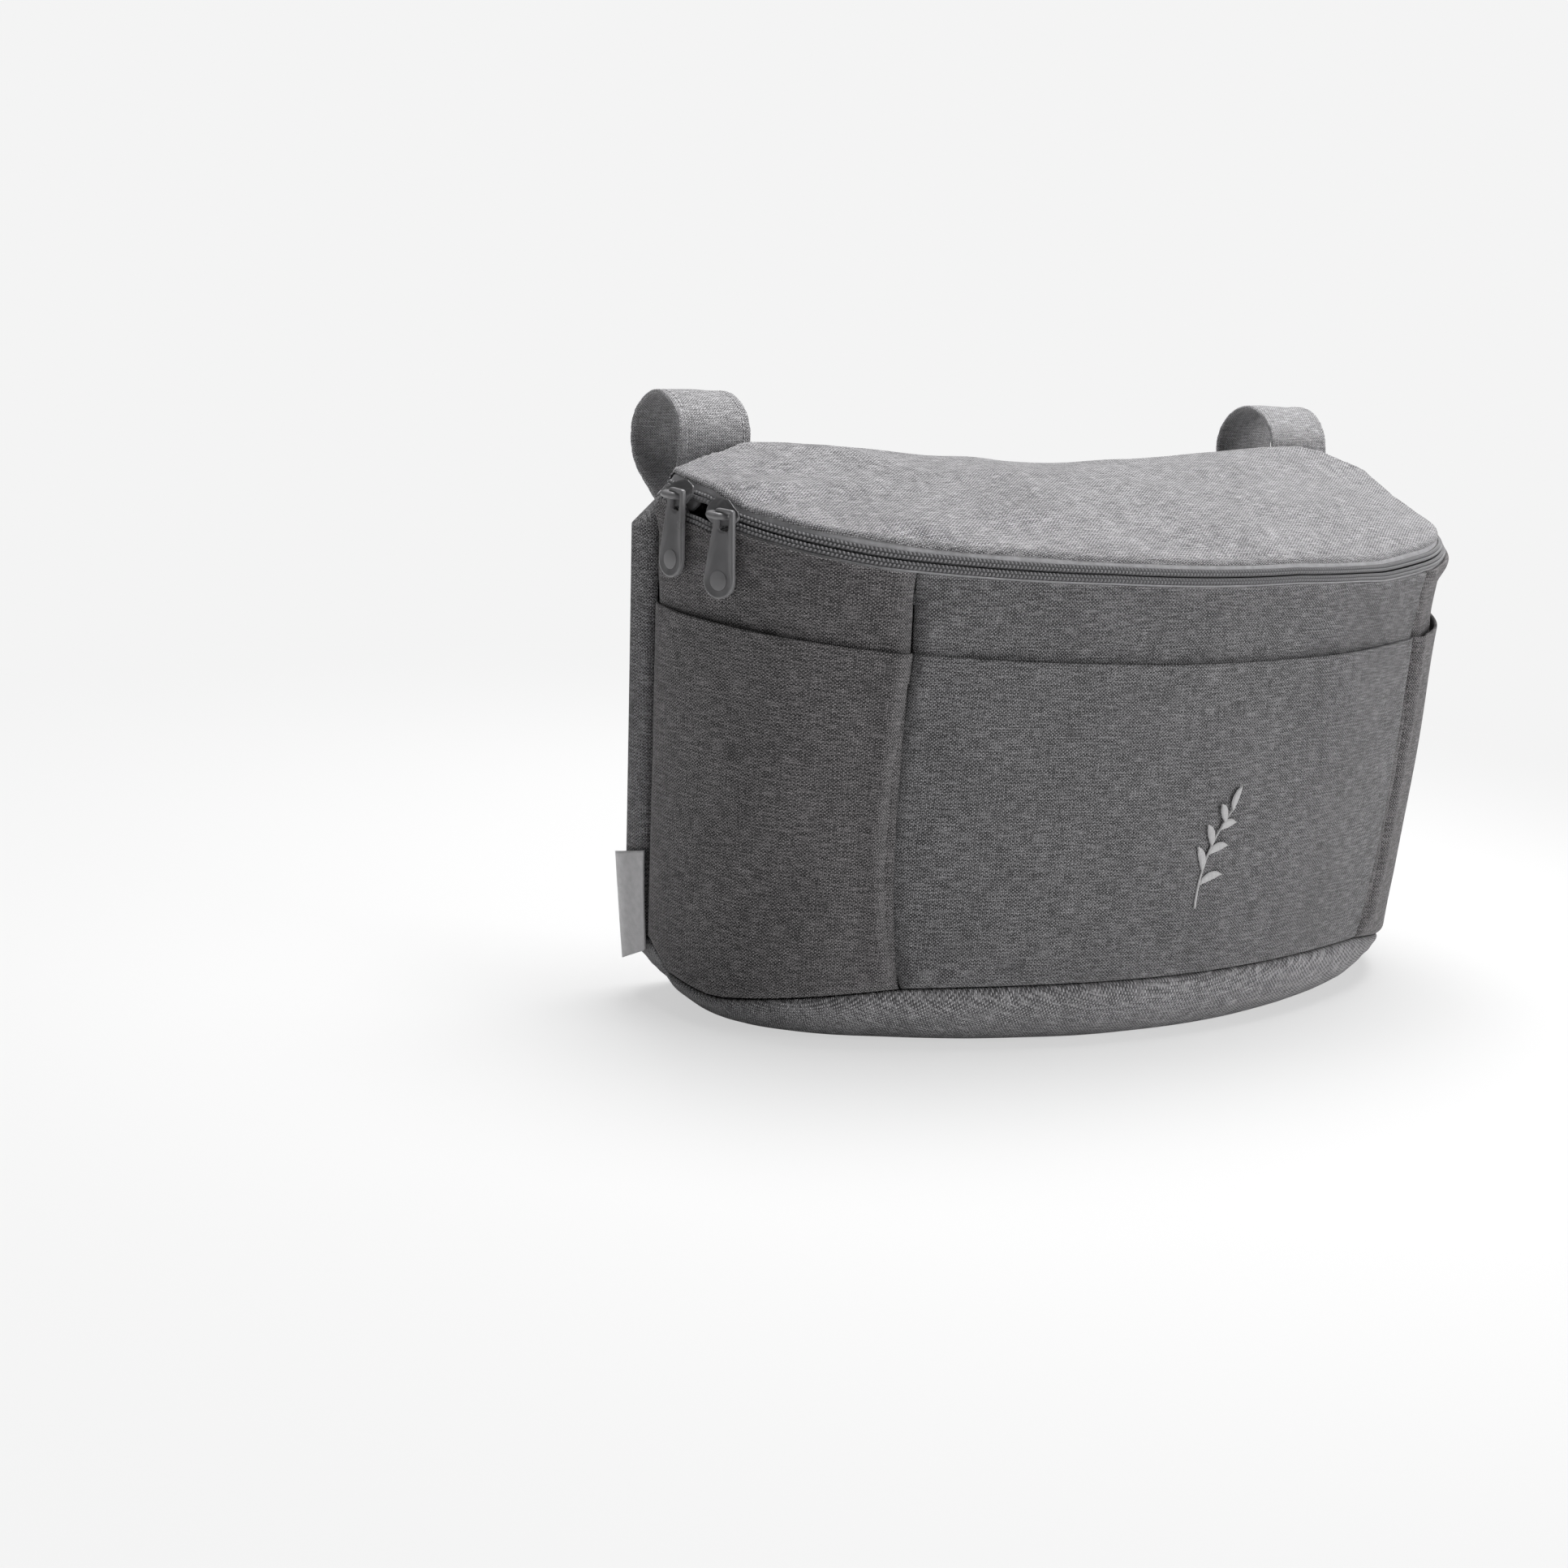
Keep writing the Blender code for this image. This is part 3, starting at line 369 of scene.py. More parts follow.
def melange(name, dark, light):
    """A cloth material whose weave follows the piece's own UV map, which is in metres."""
    material, shader = new_material(name)
    shader.inputs["Roughness"].default_value = 0.92
    shader.inputs["Specular IOR Level"].default_value = 0.25
    shader.inputs["Sheen Weight"].default_value = 0.25
    shader.inputs["Sheen Roughness"].default_value = 0.6
    cloth = add_node(material, "UVMap").outputs["UV"]

    def calc(operation, *values):
        return add_node(material, "Math", dict(enumerate(values)), operation=operation).outputs[0]

    def noise(across, along, detail, roughness, seed):
        scale = (1 / across, 1 / along, 1.0)
        spot = {"Vector": cloth, "Location": (seed, 2.7 * seed, 0.0), "Scale": scale}
        place = add_node(material, "Mapping", spot).outputs[0]
        field = {"Vector": place, "Scale": 1.0, "Detail": detail, "Roughness": roughness}
        return add_node(material, "TexNoise", field, noise_dimensions="2D").outputs["Fac"]

    apart = add_node(material, "SeparateXYZ", {0: cloth})
    across = calc("SINE", calc("MULTIPLY", apart.outputs["X"], math.pi / WARP_PITCH))
    along = calc("SINE", calc("MULTIPLY", apart.outputs["Y"], math.pi / WEFT_PITCH))
    over = calc("MULTIPLY", across, along)
    warp_on_top = calc("ADD", calc("MULTIPLY", over, 1.7), 0.1)
    warp_on_top = calc("MINIMUM", calc("MAXIMUM", warp_on_top, 0.0), 1.0)
    warp = noise(0.0008, 0.0070, 2.0, 0.6, 0.0)
    weft = noise(0.0070, 0.0007, 2.0, 0.6, 3.1)
    speck = noise(0.0007, 0.0007, 1.0, 0.5, 7.3)
    patch = noise(0.022, 0.028, 2.0, 0.5, 5.9)
    yarn = add_node(material, "Mix", {0: warp_on_top, 2: weft, 3: warp}).outputs[0]
    tone = calc("MULTIPLY", yarn, 1.9)
    for field, weight in ((warp_on_top, 0.60), (speck, 0.70), (patch, 0.22)):
        tone = calc("ADD", tone, calc("MULTIPLY", field, weight))
    colour_by(material, shader, calc("SUBTRACT", tone, 1.28), 0.0, dark, 1.0, light)
    thread = calc("ADD", calc("ABSOLUTE", over), calc("MULTIPLY", speck, 0.6))
    raise_by(material, shader, thread, 1.0, 0.0004)
    return material


wall_cloth = melange("wall_cloth", (0.024, 0.023, 0.025, 1.0), (0.420, 0.412, 0.425, 1.0))
# The side cloth is a darker, warmer copy of the wall cloth: painted shade that stands in for the dimmer
# light on the sides.
side_cloth = melange("side_cloth", (0.021, 0.0192, 0.0200, 1.0), (0.372, 0.352, 0.360, 1.0))
# The lid cloth is a lighter copy of the wall cloth: painted light that stands in for the lamp above.
lid_cloth = melange("lid_cloth", (0.100, 0.098, 0.103, 1.0), (0.790, 0.777, 0.800, 1.0))


def ripple(a, b, size, seed):
    """A soft random field between about -1 and 1, with waves of about one size."""
    dice = np.random.default_rng(seed)
    field = np.zeros_like(a)
    for _ in range(9):
        heading, phase = dice.uniform(0, 2 * math.pi, 2)
        length = size * dice.uniform(0.7, 1.5)
        field += np.sin(2 * math.pi / length * (a * math.cos(heading) + b * math.sin(heading)) + phase)
    return field / 4.0


def tuck(distance, reach, depth):
    """How far cloth rolls inward near a seam, at a distance from it."""
    near = np.clip(1 - distance / reach, 0, 1)
    return depth * (1 - np.sqrt(1 - near**2))


def crowded(count, share=0.8):
    """Shares from 0 to 1 that crowd together at both ends."""
    even = np.linspace(0, 1, count + 1)
    return even - share * np.sin(2 * math.pi * even) / (2 * math.pi)


def hemmed(count, radius, flap=0.010):
    """Rows up to a folded edge, round it and down inside: share, drop, inward, and cloth run."""
    share = crowded(count, 0.7)
    turn = np.linspace(0, math.pi, 9)[1:]
    part = flap * np.array((0.1, 0.3, 0.6, 1.0))
    face = [share, radius * share, 0 * share, -radius * share]
    fold = [1 + 0 * turn, radius * (1 - np.sin(turn)), radius * (1 - np.cos(turn)), radius * (turn - 1)]
    inside = [1 + 0 * part, radius + part, 2 * radius + 0 * part, 2.14 * radius + part]
    return np.hstack([face, fold, inside]).T


def add_piece(name, mesh, material, body, nodes):
    """Makes a smooth object of a mesh. It moves with a body and replaces CAD nodes."""
    mesh.shade_smooth()
    mesh.materials.append(material)
    piece = bpy.data.objects.new(name, mesh)
    bpy.context.scene.collection.objects.link(piece)
    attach(piece, body)
    if nodes:
        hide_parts(*nodes)
    return piece


def sew(name, columns, rows, place, material, nodes, thickness=0.0006, merge=False):
    """Lays a cloth grid on place(columns, rows), which gives its points and flat cut in metres."""
    bm = bmesh.new()
    bmesh.ops.create_grid(bm, x_segments=len(columns) - 1, y_segments=len(rows) - 1, size=0.5)
    mesh = bpy.data.meshes.new(name)
    bm.to_mesh(mesh)
    bm.free()
    flat = np.empty(3 * len(mesh.vertices))
    mesh.vertices.foreach_get("co", flat)
    flat = flat.reshape(-1, 3)
    column = np.rint((flat[:, 0] + 0.5) * (len(columns) - 1)).astype(int)
    row = np.rint((flat[:, 1] + 0.5) * (len(rows) - 1)).astype(int)
    points, cut = place(columns[column], rows[row])
    mesh.vertices.foreach_set("co", points.ravel())
    corners = np.empty(len(mesh.loops), dtype=int)
    mesh.loops.foreach_get("vertex_index", corners)
    mesh.uv_layers.new(name="cut").data.foreach_set("uv", cut[corners].ravel())
    mesh.update()
    outward = sum((f.center - Vector((0, 0, 0.1))).dot(f.normal) * f.area for f in mesh.polygons)
    if outward < 0:
        mesh.flip_normals()
    if merge:
        bm = bmesh.new()
        bm.from_mesh(mesh)
        bmesh.ops.remove_doubles(bm, verts=bm.verts, dist=1e-5)
        bm.to_mesh(mesh)
        bm.free()
    piece = add_piece(name, mesh, material, "bag", nodes)
    if thickness:
        solid = piece.modifiers.new("thickness", "SOLIDIFY")
        solid.thickness = thickness
        solid.offset = -1.0
    return piece


# The base is one shallow tray of cloth over a stiff board. It is sewn to the wall all round,
# with a groove along the seam, and rounds under to the flat floor.
# The base's cloth is a lighter copy of the wall cloth: painted light that stands in for light bounced up
# from the floor.
base_painted_light_cloth = melange("base_painted_light_cloth", (0.090, 0.088, 0.092, 1.0), (0.640, 0.628, 0.646, 1.0))


def base_place(girth, share):
    x, y, nx, ny = plan(SEAM_LINE, girth)
    fx, fy, _, _ = plan(FLAT_LINE, girth)
    fy = fy - 0.0040
    height = seam_height(girth) - 0.0003
    chord = np.clip(2 * share, 0, 1)
    inner = np.clip(2 * share - 1, 0, 1)
    angle = chord * math.pi / 2
    corner_end = np.where(np.mod(girth, RING) > HALF_GIRTH, 0.150, 0.085)
    flatter = 0.75 * smooth((corner_end - to_left(girth)) / 0.060)
    turn = (1 - np.cos(angle)) * (1 - flatter) + chord * flatter
    px = (x + turn * (fx - x)) * (1 - inner)
    py = y + turn * (fy - y)
    py = py + inner * (-WALL_DEPTH / 2 - py)
    pz = height * (1 - np.sin(angle) * (1 - flatter) - chord * flatter)
    groove = tuck(angle * 0.020, 0.0045, 0.0032)
    puff = 0.0008 * np.sin(2 * angle) * (1 + 0.35 * ripple(girth, share, 0.045, 4))
    side = (puff - groove) * np.cos(angle)
    pz = pz - 0.4 * puff * np.sin(angle) * (inner <= 0)
    points = np.stack([px + side * nx, BACK_Y + py + side * ny, np.maximum(pz, 0.0)], axis=-1)
    reach = 0.014 * (1 - chord)
    return points, np.stack([px + reach * nx, py + reach * ny], axis=-1)


base_rows = np.concatenate([crowded(26, 0.5) * 0.5, np.linspace(0.5, 1.0, 9)[1:]])
base_girth = np.linspace(0, RING, 481)
base = sew("base", base_girth, base_rows, base_place, base_painted_light_cloth, ["base_panel"], merge=True)


# The front and side panels stand between the seams. Above the pockets their cloth is smooth, and
# their top edge is folded over in front of the zip tape.
PANEL_HEM = 0.0010
SEAM_GAP = 0.0001


def panel_place(left, right, seed, roll, neck):
    """A panel between two seams, given as girths by rise, from the bottom seam to its folded top."""

    def place(across, rows):
        share, drop, inside, run = rows.T
        girth = left(share) + across * (right(share) - left(share))
        low = seam_height(girth)
        high = wall_top(girth)[..., 2] + 0.0010 - GAPE_DROP * gape(girth)
        height = low + share * (high - low) - drop
        edge = np.minimum(girth - left(share), right(share) - girth)
        mouth = pocket_height(girth)
        room = smooth(edge / 0.045) * smooth((height - low) / 0.045)
        room = room * smooth((high - height) / (high - mouth))
        behind = smooth((mouth - height + 0.012) / 0.012)
        inward = 0.0010 * room + 0.0008 * behind + inside
        necked = smooth((high - height - 0.001) / 0.009) * smooth((height - mouth + 0.010) / 0.022)
        inward += neck * necked
        side_tuck = tuck(edge, 0.0065, 0.0042) * (0.3 + 0.7 * smooth((high - height) / 0.010))
        inward += np.maximum(side_tuck, tuck(height - low, 0.004, 0.003))
        to_roll = np.abs(to_left(girth) - front_seam(share)) - 0.0055
        inward -= roll * np.exp(-((to_roll / 0.0045) ** 2))
        inward += 0.00035 * ripple(girth, height, 0.034, seed) * smooth(edge / 0.02)
        points = wall(girth, height, inward)
        outer = np.where(girth - left(share) < right(share) - girth, -side_tuck, side_tuck)
        return points, np.stack([girth + outer, low + share * (high - low) + run], axis=-1)

    return place


def left_of_front(share):
    return front_seam(share) - SEAM_GAP


def rear_left(share):
    return REAR_SEAM + SEAM_GAP + 0 * share


def right_of_front(share):
    return front_seam(share) + SEAM_GAP


def mirrored(seam):
    """The matching seam on the right half."""
    return lambda *where: GIRTH - seam(*where)


panels = (
    ("front", right_of_front, mirrored(right_of_front), 11, 230, 0.2550, 0.0381),
    ("side_left", rear_left, left_of_front, 12, 120, 0.1205, 0.0185),
    ("side_right", mirrored(left_of_front), mirrored(rear_left), 13, 120, 0.1205, 0.0182),
)
for panel_name, left, right, seed, count, cut_width, cut_area in panels:
    node = "front_panel" if panel_name == "front" else panel_name.replace("side", "side_panel")
    roll = 0.0 if panel_name == "front" else 0.0006
    neck = 0.0026 if panel_name == "side_right" else 0.0
    place = panel_place(left, right, seed, roll, neck)
    # The side panels take the cloth with painted shade.
    cloth = wall_cloth if panel_name == "front" else side_cloth
    rows = hemmed(90, PANEL_HEM)
    panel = sew(panel_name + "_cloth", crowded(count, 0.6), rows, place, cloth, [node])


# The pockets are second layers over the panels, sewn into the side and bottom seams, with a folded
# mouth. The side pockets bulge where their front edges roll over the seam.
POCKET_HEM = 0.0006


def pocket_place(left, right, seed, bulge, roll):
    def place(across, rows):
        share, drop, inside, run = rows.T
        bow = 0.0060 * np.sin(math.pi * np.clip(share, 0, 1) ** 0.75)
        first = left(share, bow)
        last = right(share, bow)
        girth = first + across * (last - first)
        low = seam_height(girth)
        high = pocket_height(girth)
        height = low + share * (high - low) - drop
        edge = np.minimum(girth - first, last - girth)
        puff = bulge * smooth(edge / 0.030) * smooth((height - low) / 0.030)
        puff = puff * (0.55 + 0.45 * smooth((high - height) / 0.05))
        inward = inside - 0.0004 - puff
        side_tuck = tuck(edge, 0.0058, 0.0036)
        inward += np.maximum(side_tuck, tuck(height - low, 0.0042, 0.0034))
        fold = ripple(girth, height * 0.6, 0.050, seed) * 0.0006
        front_edge = np.minimum(np.abs(girth - first), np.abs(last - girth))
        near_front = np.exp(-(((front_edge - 0.0050) / 0.0042) ** 2))
        near_front = near_front * (to_left(girth) > 0.5 * (REAR_SEAM + FRONT_SEAM_TOP))
        inward -= roll * near_front * smooth((height - low) / 0.012)
        inward += fold * smooth(edge / 0.015) * smooth((height - low) / 0.02)
        points = wall(girth, height, inward)
        outer = np.where(girth - first < last - girth, -side_tuck, side_tuck)
        return points, np.stack([girth + 0.31 + outer, low + share * (high - low) + run], axis=-1)

    return place


def front_edge_out(share, bow):
    return right_of_front(0.8 * share) - bow


def side_edge_out(share, bow):
    return left_of_front(0.8 * share) - bow


def side_edge_right(share, bow):
    return GIRTH - left_of_front(0.8 * share) + bow


def side_edge_rear(share, _):
    return rear_left(share)


pockets = (
    ("front_pocket", front_edge_out, mirrored(front_edge_out), 21, 230, 0.0010),
    ("side_pocket_left", side_edge_rear, side_edge_out, 22, 130, 0.0008),
    ("side_pocket_right", side_edge_right, mirrored(side_edge_rear), 23, 130, 0.0006),
)
for pocket_name, left, right, seed, count, bulge in pockets:
    place = pocket_place(left, right, seed, bulge, 0.0 if pocket_name == "front_pocket" else 0.0014)
    cloth_name = pocket_name + "_cloth"
    rows = hemmed(110, POCKET_HEM)
    # The side pockets take the cloth with painted shade.
    cloth = wall_cloth if pocket_name == "front_pocket" else side_cloth
    pocket = sew(cloth_name, crowded(count, 0.6), rows, place, cloth, [pocket_name])
    cut_width, cut_area = (0.2510, 0.0323) if pocket_name == "front_pocket" else (0.1190, 0.0149)


# The back panel is one cloth that wraps both rear corners, sewn to the side panels and the base.
# Past the ends of the zip it runs up to the lid seam.
BACK_GIRTH = RING - GIRTH + 2 * REAR_SEAM


def back_place(along, share):
    girth = GIRTH - REAR_SEAM + SEAM_GAP + along * (BACK_GIRTH - 2 * SEAM_GAP)
    low = seam_height(girth)
    top = wall_top(girth)
    on_wall = np.clip(share / 0.9, 0, 1)
    height = low + on_wall * (top[..., 2] - low)
    edge = np.minimum(along, 1 - along) * BACK_GIRTH
    side_tuck = tuck(edge, 0.0045, 0.0030)
    inward = np.maximum(side_tuck, tuck(height - low, 0.004, 0.003))
    inward -= 0.0012 * smooth(edge / 0.012) * smooth((0.035 - edge) / 0.02) * smooth((height - low) / 0.03)
    inward += 0.0005 * ripple(girth, height, 0.05, 31) * smooth((edge - 0.02) / 0.02)
    lower = wall(girth, height, inward)
    rim = band(girth, np.full_like(girth, -0.0004), np.maximum(inward, 0) + 0.0008)
    over = np.clip((share - 0.9) / 0.1, 0, 1)[..., None]
    points = lower + over * (rim - lower)
    outer = np.where(along < 0.5, -side_tuck, side_tuck)
    return points, np.stack([girth + outer, height + 0.009 * over[..., 0]], axis=-1)


back_rows = np.concatenate([crowded(80, 0.6) * 0.9, np.linspace(0.9, 1.0, 9)[1:]])
back_along = np.linspace(0, 1, 261)
back = sew("back_cloth", back_along, back_rows, back_place, wall_cloth, ["back_panel"])


# The lid is one piece of cloth, painted lighter than the walls to stand in for the light from above. It sags
# between its seams, and at the zip it rolls over and is pulled in by the stitches to a fold with fine
# puckers.
LID_ROLL = 0.0022


def lid_place(girth, rows):
    """The lid from its tucked rim (rows 0 to 1, round the roll) to its middle (row 2)."""
    x, y, nx, ny = plan(LID_LINE, girth)
    pulled = pull(girth, LID_PULL) + 0.0003
    x, y = x - pulled * nx, y - pulled * ny
    inner = np.clip(rows - 1, 0, 1)
    front = smooth((0.3 - ny) / 0.6)
    radius = LID_ROLL * front + 0.0012 * (1 - front)
    angle = (1 - np.clip(rows, 0, 1)) * math.pi * 0.5
    out = np.where(rows < 1, radius * (np.sin(angle) - 1), -radius * smooth(1 - inner * 14))
    below = np.where(rows < 1, radius * (1 - np.cos(angle)), 0.0)
    pucker = ripple(girth * 3.0, rows * 0.004, 0.011, 43) * 0.00022 * np.exp(-((rows - 0.4) ** 2) / 0.12)
    px = x * (1 - inner) + (out + pucker) * nx
    py = y * (1 - inner) - LID_DEPTH / 2 * inner + (out + pucker) * ny
    crown = 0.0040 * (1 - (1 - inner) ** 2)
    dip = 0.0010 * ripple(px, py, 0.075, 41) * smooth(inner * 6) + 0.00035 * ripple(px, py, 0.028, 42)
    points = on_lid(px, py, below - 0.0014 - crown - dip)
    points[..., 2] -= slump(girth, LID_SLUMP) * (1 - inner) ** 3
    return points, np.stack([px + below * nx, py + below * ny], axis=-1)


lid_rows = np.concatenate([np.linspace(0, 1, 13), 1 + crowded(46, 0.5)[1:]])
lid = sew(
    "lid_cloth_top", np.linspace(0, RING, 561), lid_rows, lid_place, lid_cloth,
    ["lid_panel"], merge=True,
)


# The zip runs round the band from one rear seam to the other. Each half is a woven tape, sewn under
# the lid or the panels, whose inner edge carries a moulded coil. Between the sliders it is open.
BAND_MIDDLE = BAND_SLANT / 2
COIL_WIDTH = 0.0027
COIL_SPLIT = 0.00035
COIL_PITCH = 0.00145


def plain_cloth(name, colour, pitch, roughness, sheen=0.15):
    """A smooth, fine, plain coloured textile such as tape, lining or ribbon."""
    material, shader = new_material(name)
    shader.inputs["Roughness"].default_value = roughness
    shader.inputs["Sheen Weight"].default_value = sheen
    cloth = add_node(material, "UVMap").outputs["UV"]
    slant = {"Vector": cloth, "Rotation": (0.0, 0.0, math.pi / 4), "Scale": (1 / pitch, 1 / pitch, 1.0)}
    turned = add_node(material, "Mapping", slant).outputs[0]
    ribs = add_node(material, "TexWave", {"Vector": turned, "Scale": 1.0, "Distortion": 1.2, "Detail": 1.0})
    cloud = add_node(material, "TexNoise", {"Vector": cloth, "Scale": 380.0, "Detail": 4.0})
    mixed = {0: ribs.outputs["Fac"], 1: 0.35, 2: cloud.outputs["Fac"]}
    grain = add_node(material, "Math", mixed, operation="MULTIPLY_ADD").outputs[0]
    dark = (*(0.72 * part for part in colour), 1.0)
    light = (*(1.22 * part for part in colour), 1.0)
    colour_by(material, shader, grain, 0.2, dark, 1.0, light)
    raise_by(material, shader, grain, 0.35, 0.0001)
    return material


def lacquer(name, colour, roughness, grain=900.0, strength=0.12):
    """A hard finish, such as painted metal or moulded plastic, with fine grain and faint wear."""
    material, shader = new_material(name)
    place = add_node(material, "TexCoord").outputs["Object"]
    fine = add_node(material, "TexNoise", {"Vector": place, "Scale": grain, "Detail": 3.0})
    broad = add_node(material, "TexNoise", {"Vector": place, "Scale": grain / 9, "Detail": 4.0})
    patchy = broad.outputs["Fac"]
    dark = (*(0.86 * part for part in colour), 1.0)
    light = (*(1.14 * part for part in colour), 1.0)
    colour_by(material, shader, patchy, 0.3, dark, 0.75, light)
    worn = {"Value": patchy, "To Min": roughness - 0.08, "To Max": roughness + 0.10}
    gloss = add_node(material, "MapRange", worn).outputs[0]
    material.node_tree.links.new(gloss, shader.inputs["Roughness"])
    raise_by(material, shader, fine.outputs["Fac"], strength, 0.0001)
    return material


zip_tape = plain_cloth("zip_tape", (0.570, 0.564, 0.582), 0.0005, 0.75)
zip_chain = lacquer("zip_chain", (0.225, 0.223, 0.230), 0.42, 1400.0)
ZIP_GIRTH = np.linspace(REAR_SEAM + 0.0003, GIRTH - REAR_SEAM - 0.0003, 361)


def tape_place(first, last, opens):
    def place(girth, rows):
        down = first + rows * (last - first) + opens * GAPE_DROP * gape(girth)
        inward = 0.0019 - 0.0004 * np.sin(math.pi * rows) + 0.0012 * gape(girth) * (opens > 0)
        inward += 0.00012 * ripple(girth, down, 0.018, 51)
        return band(girth, down, inward), np.stack([girth, down], axis=-1)

    return place


upper_end = BAND_MIDDLE - COIL_SPLIT / 2
lower_end = BAND_MIDDLE + COIL_SPLIT / 2
tape_rows = np.linspace(0, 1, 9)
for half, first, last, opens in (
    ("upper", -0.0004, upper_end, 0.0),
    ("lower", lower_end, BAND_SLANT + 0.0002, 1.0),
):
    place = tape_place(first, last, opens)
    node = f"zip_tape_{half}"
    sew(f"tape_{half}", ZIP_GIRTH, tape_rows, place, zip_tape, [node], 0.0005)


def coil_place(first, opens):
    """One half of the chain: two rows of small slanting ribs with a groove of stitches between them."""

    def place(girth, rows):
        centred = 2 * rows - 1
        arch = np.sqrt(np.clip(1 - np.abs(centred) ** 3.2, 0, 1))
        phase = girth / COIL_PITCH + 0.42 * np.abs(centred) + np.where(centred > 0, 0.5, 0.0)
        rib = 0.5 + 0.5 * np.cos(2 * math.pi * phase)
        groove = np.exp(-((centred / 0.17) ** 2))
        height = 0.0015 * arch * (0.50 + 0.50 * rib * (1 - groove)) - 0.00035 * groove
        down = first + rows * COIL_WIDTH + opens * GAPE_DROP * gape(girth)
        inward = 0.0014 - height + 0.0012 * gape(girth) * (opens > 0)
        # The cut's second coordinate carries painted shade: low between the ribs, in the groove and towards
        # the chain's edges.
        shade = arch * (0.25 + 0.75 * rib * (1 - groove))
        return band(girth, down, inward), np.stack([girth, shade], axis=-1)

    return place


# The chain's colour is painted shade from that coordinate: dark in the recesses, lighter on the ribs' tops.
chain_map = add_node(zip_chain, "UVMap").outputs["UV"]
chain_shade = add_node(zip_chain, "SeparateXYZ", {0: chain_map}).outputs["Y"]
chain_shader = zip_chain.node_tree.nodes["Principled BSDF"]
chain_painted_shade_colour = (0.060, 0.060, 0.062, 1.0)
chain_painted_lit_colour = (0.250, 0.248, 0.256, 1.0)
colour_by(zip_chain, chain_shader, chain_shade, 0.0, chain_painted_shade_colour, 0.8, chain_painted_lit_colour)

coil_girth = np.linspace(REAR_SEAM + 0.001, GIRTH - REAR_SEAM - 0.001, 2101)
coil_rows = np.linspace(0, 1, 17)
for half, first, opens in (("upper", upper_end - COIL_WIDTH, 0.0), ("lower", lower_end, 1.0)):
    place = coil_place(first, opens)
    node = f"zip_coil_{half}"
    sew(f"coil_{half}", coil_girth, coil_rows, place, zip_chain, [node], 0.0)


# The two sliders are lacquered castings. Each has a shield shaped plate over the chain, a smaller
# plate under it, a post between them, and a bridge of round bar that holds the pull tab.
slider_paint = lacquer("slider_paint", (0.170, 0.168, 0.173), 0.30)
BRIDGE_SPAN = 0.0068
BRIDGE_REACH = 0.0074
SLIDERS = {"left": (0.03903, 1), "right": (0.05969, -1)}


def slider_spot(side):
    """A slider's frame: middle, outward and along."""
    girth = SLIDERS[side][0]
    _, _, nx, ny = plan(LID_LINE, girth)
    middle = band(girth, np.array(BAND_MIDDLE), np.array(0.0))
    return Vector(middle), Vector((nx, ny, 0)), Vector((-ny, nx, 0))


def set_at(spot, across, up, out):
    """The matrix that moves a shape to a spot, with its axes turned to three directions."""
    return Matrix.Translation(spot) @ Matrix((across, up, out)).transposed().to_4x4()


def finish_shape(name, bm, material, body, nodes=(), bevel=0.0):
    """Makes a closed piece of a bmesh, with soft edges, that moves with a body."""
    if bevel:
        sharp = [edge for edge in bm.edges if edge.calc_face_angle(0) > 0.6]
        bmesh.ops.bevel(bm, geom=sharp, offset=bevel, segments=3, profile=0.5, affect="EDGES", material=-1)
    bmesh.ops.recalc_face_normals(bm, faces=bm.faces[:])
    mesh = bpy.data.meshes.new(name)
    bm.to_mesh(mesh)
    bm.free()
    add_piece(name, mesh, material, body, nodes)


def bar(points, radius):
    """A closed round bar swept along points, with its ends rounded."""
    ahead = [(b - a).normalized() for a, b in zip(points, points[1:])]
    round_off = []
    for turn in (0.2, 0.5, 0.8, 1.0):
        round_off.append((radius * math.sin(turn * math.pi / 2), radius * math.cos(turn * 1.55)))
    stations = [(points[0] - ahead[0] * reach, wide) for reach, wide in round_off[::-1]]
    stations += [(point, radius) for point in points]
    stations += [(points[-1] + ahead[-1] * reach, wide) for reach, wide in round_off]
    bm = bmesh.new()
    side = ahead[0].orthogonal().normalized()
    last_ring = []
    for number, (spot, wide) in enumerate(stations):
        before = stations[max(number - 1, 0)][0]
        after = stations[min(number + 1, len(stations) - 1)][0]
        forward = (after - before).normalized()
        side = (side - forward * side.dot(forward)).normalized()
        ring = bmesh.ops.create_circle(bm, segments=20, radius=wide)["verts"]
        bmesh.ops.transform(bm, matrix=set_at(spot, side, forward.cross(side), forward), verts=ring)
        edges = list({edge for vert in ring for edge in vert.link_edges if edge.other_vert(vert) in ring})
        if last_ring:
            bmesh.ops.bridge_loops(bm, edges=last_ring + edges)
        last_ring = edges
    bmesh.ops.holes_fill(bm, edges=[edge for edge in bm.edges if edge.is_boundary])
    return bm


def plate(side, length, nose_width, tail_width, low, high, crown):
    """A shield shaped plate over or under the chain, on the chain's own arc."""
    girth, nose = SLIDERS[side]
    bm = bmesh.new()
    bmesh.ops.create_circle(bm, cap_ends=True, segments=48, radius=1.0)
    bmesh.ops.inset_region(bm, faces=bm.faces[:], thickness=0.30)
    middle_face = [face for face in bm.faces if len(face.verts) > 4]
    bmesh.ops.inset_region(bm, faces=middle_face, thickness=0.30)
    lower = bmesh.ops.extrude_face_region(bm, geom=bm.faces[:], use_keep_orig=True)
    under = {item for item in lower["geom"] if isinstance(item, bmesh.types.BMVert)}
    for vert in bm.verts:
        x, y = vert.co.x, vert.co.y
        square = max(abs(x), abs(y)) / max(math.hypot(x, y), 1e-9)
        swell = 1 + 0.16 * (1 / square - 1)
        wide = tail_width + (nose_width - tail_width) * smooth(0.85 + 1.1 * x * nose)
        depth = low if vert in under else high + crown * (1 - x * x - y * y)
        at = girth + 0.5 * length * swell * x
        down = BAND_MIDDLE + 0.5 * wide * swell * y
        vert.co = Vector(band(np.array(at), np.array(down), np.array(-depth)))
    return bm


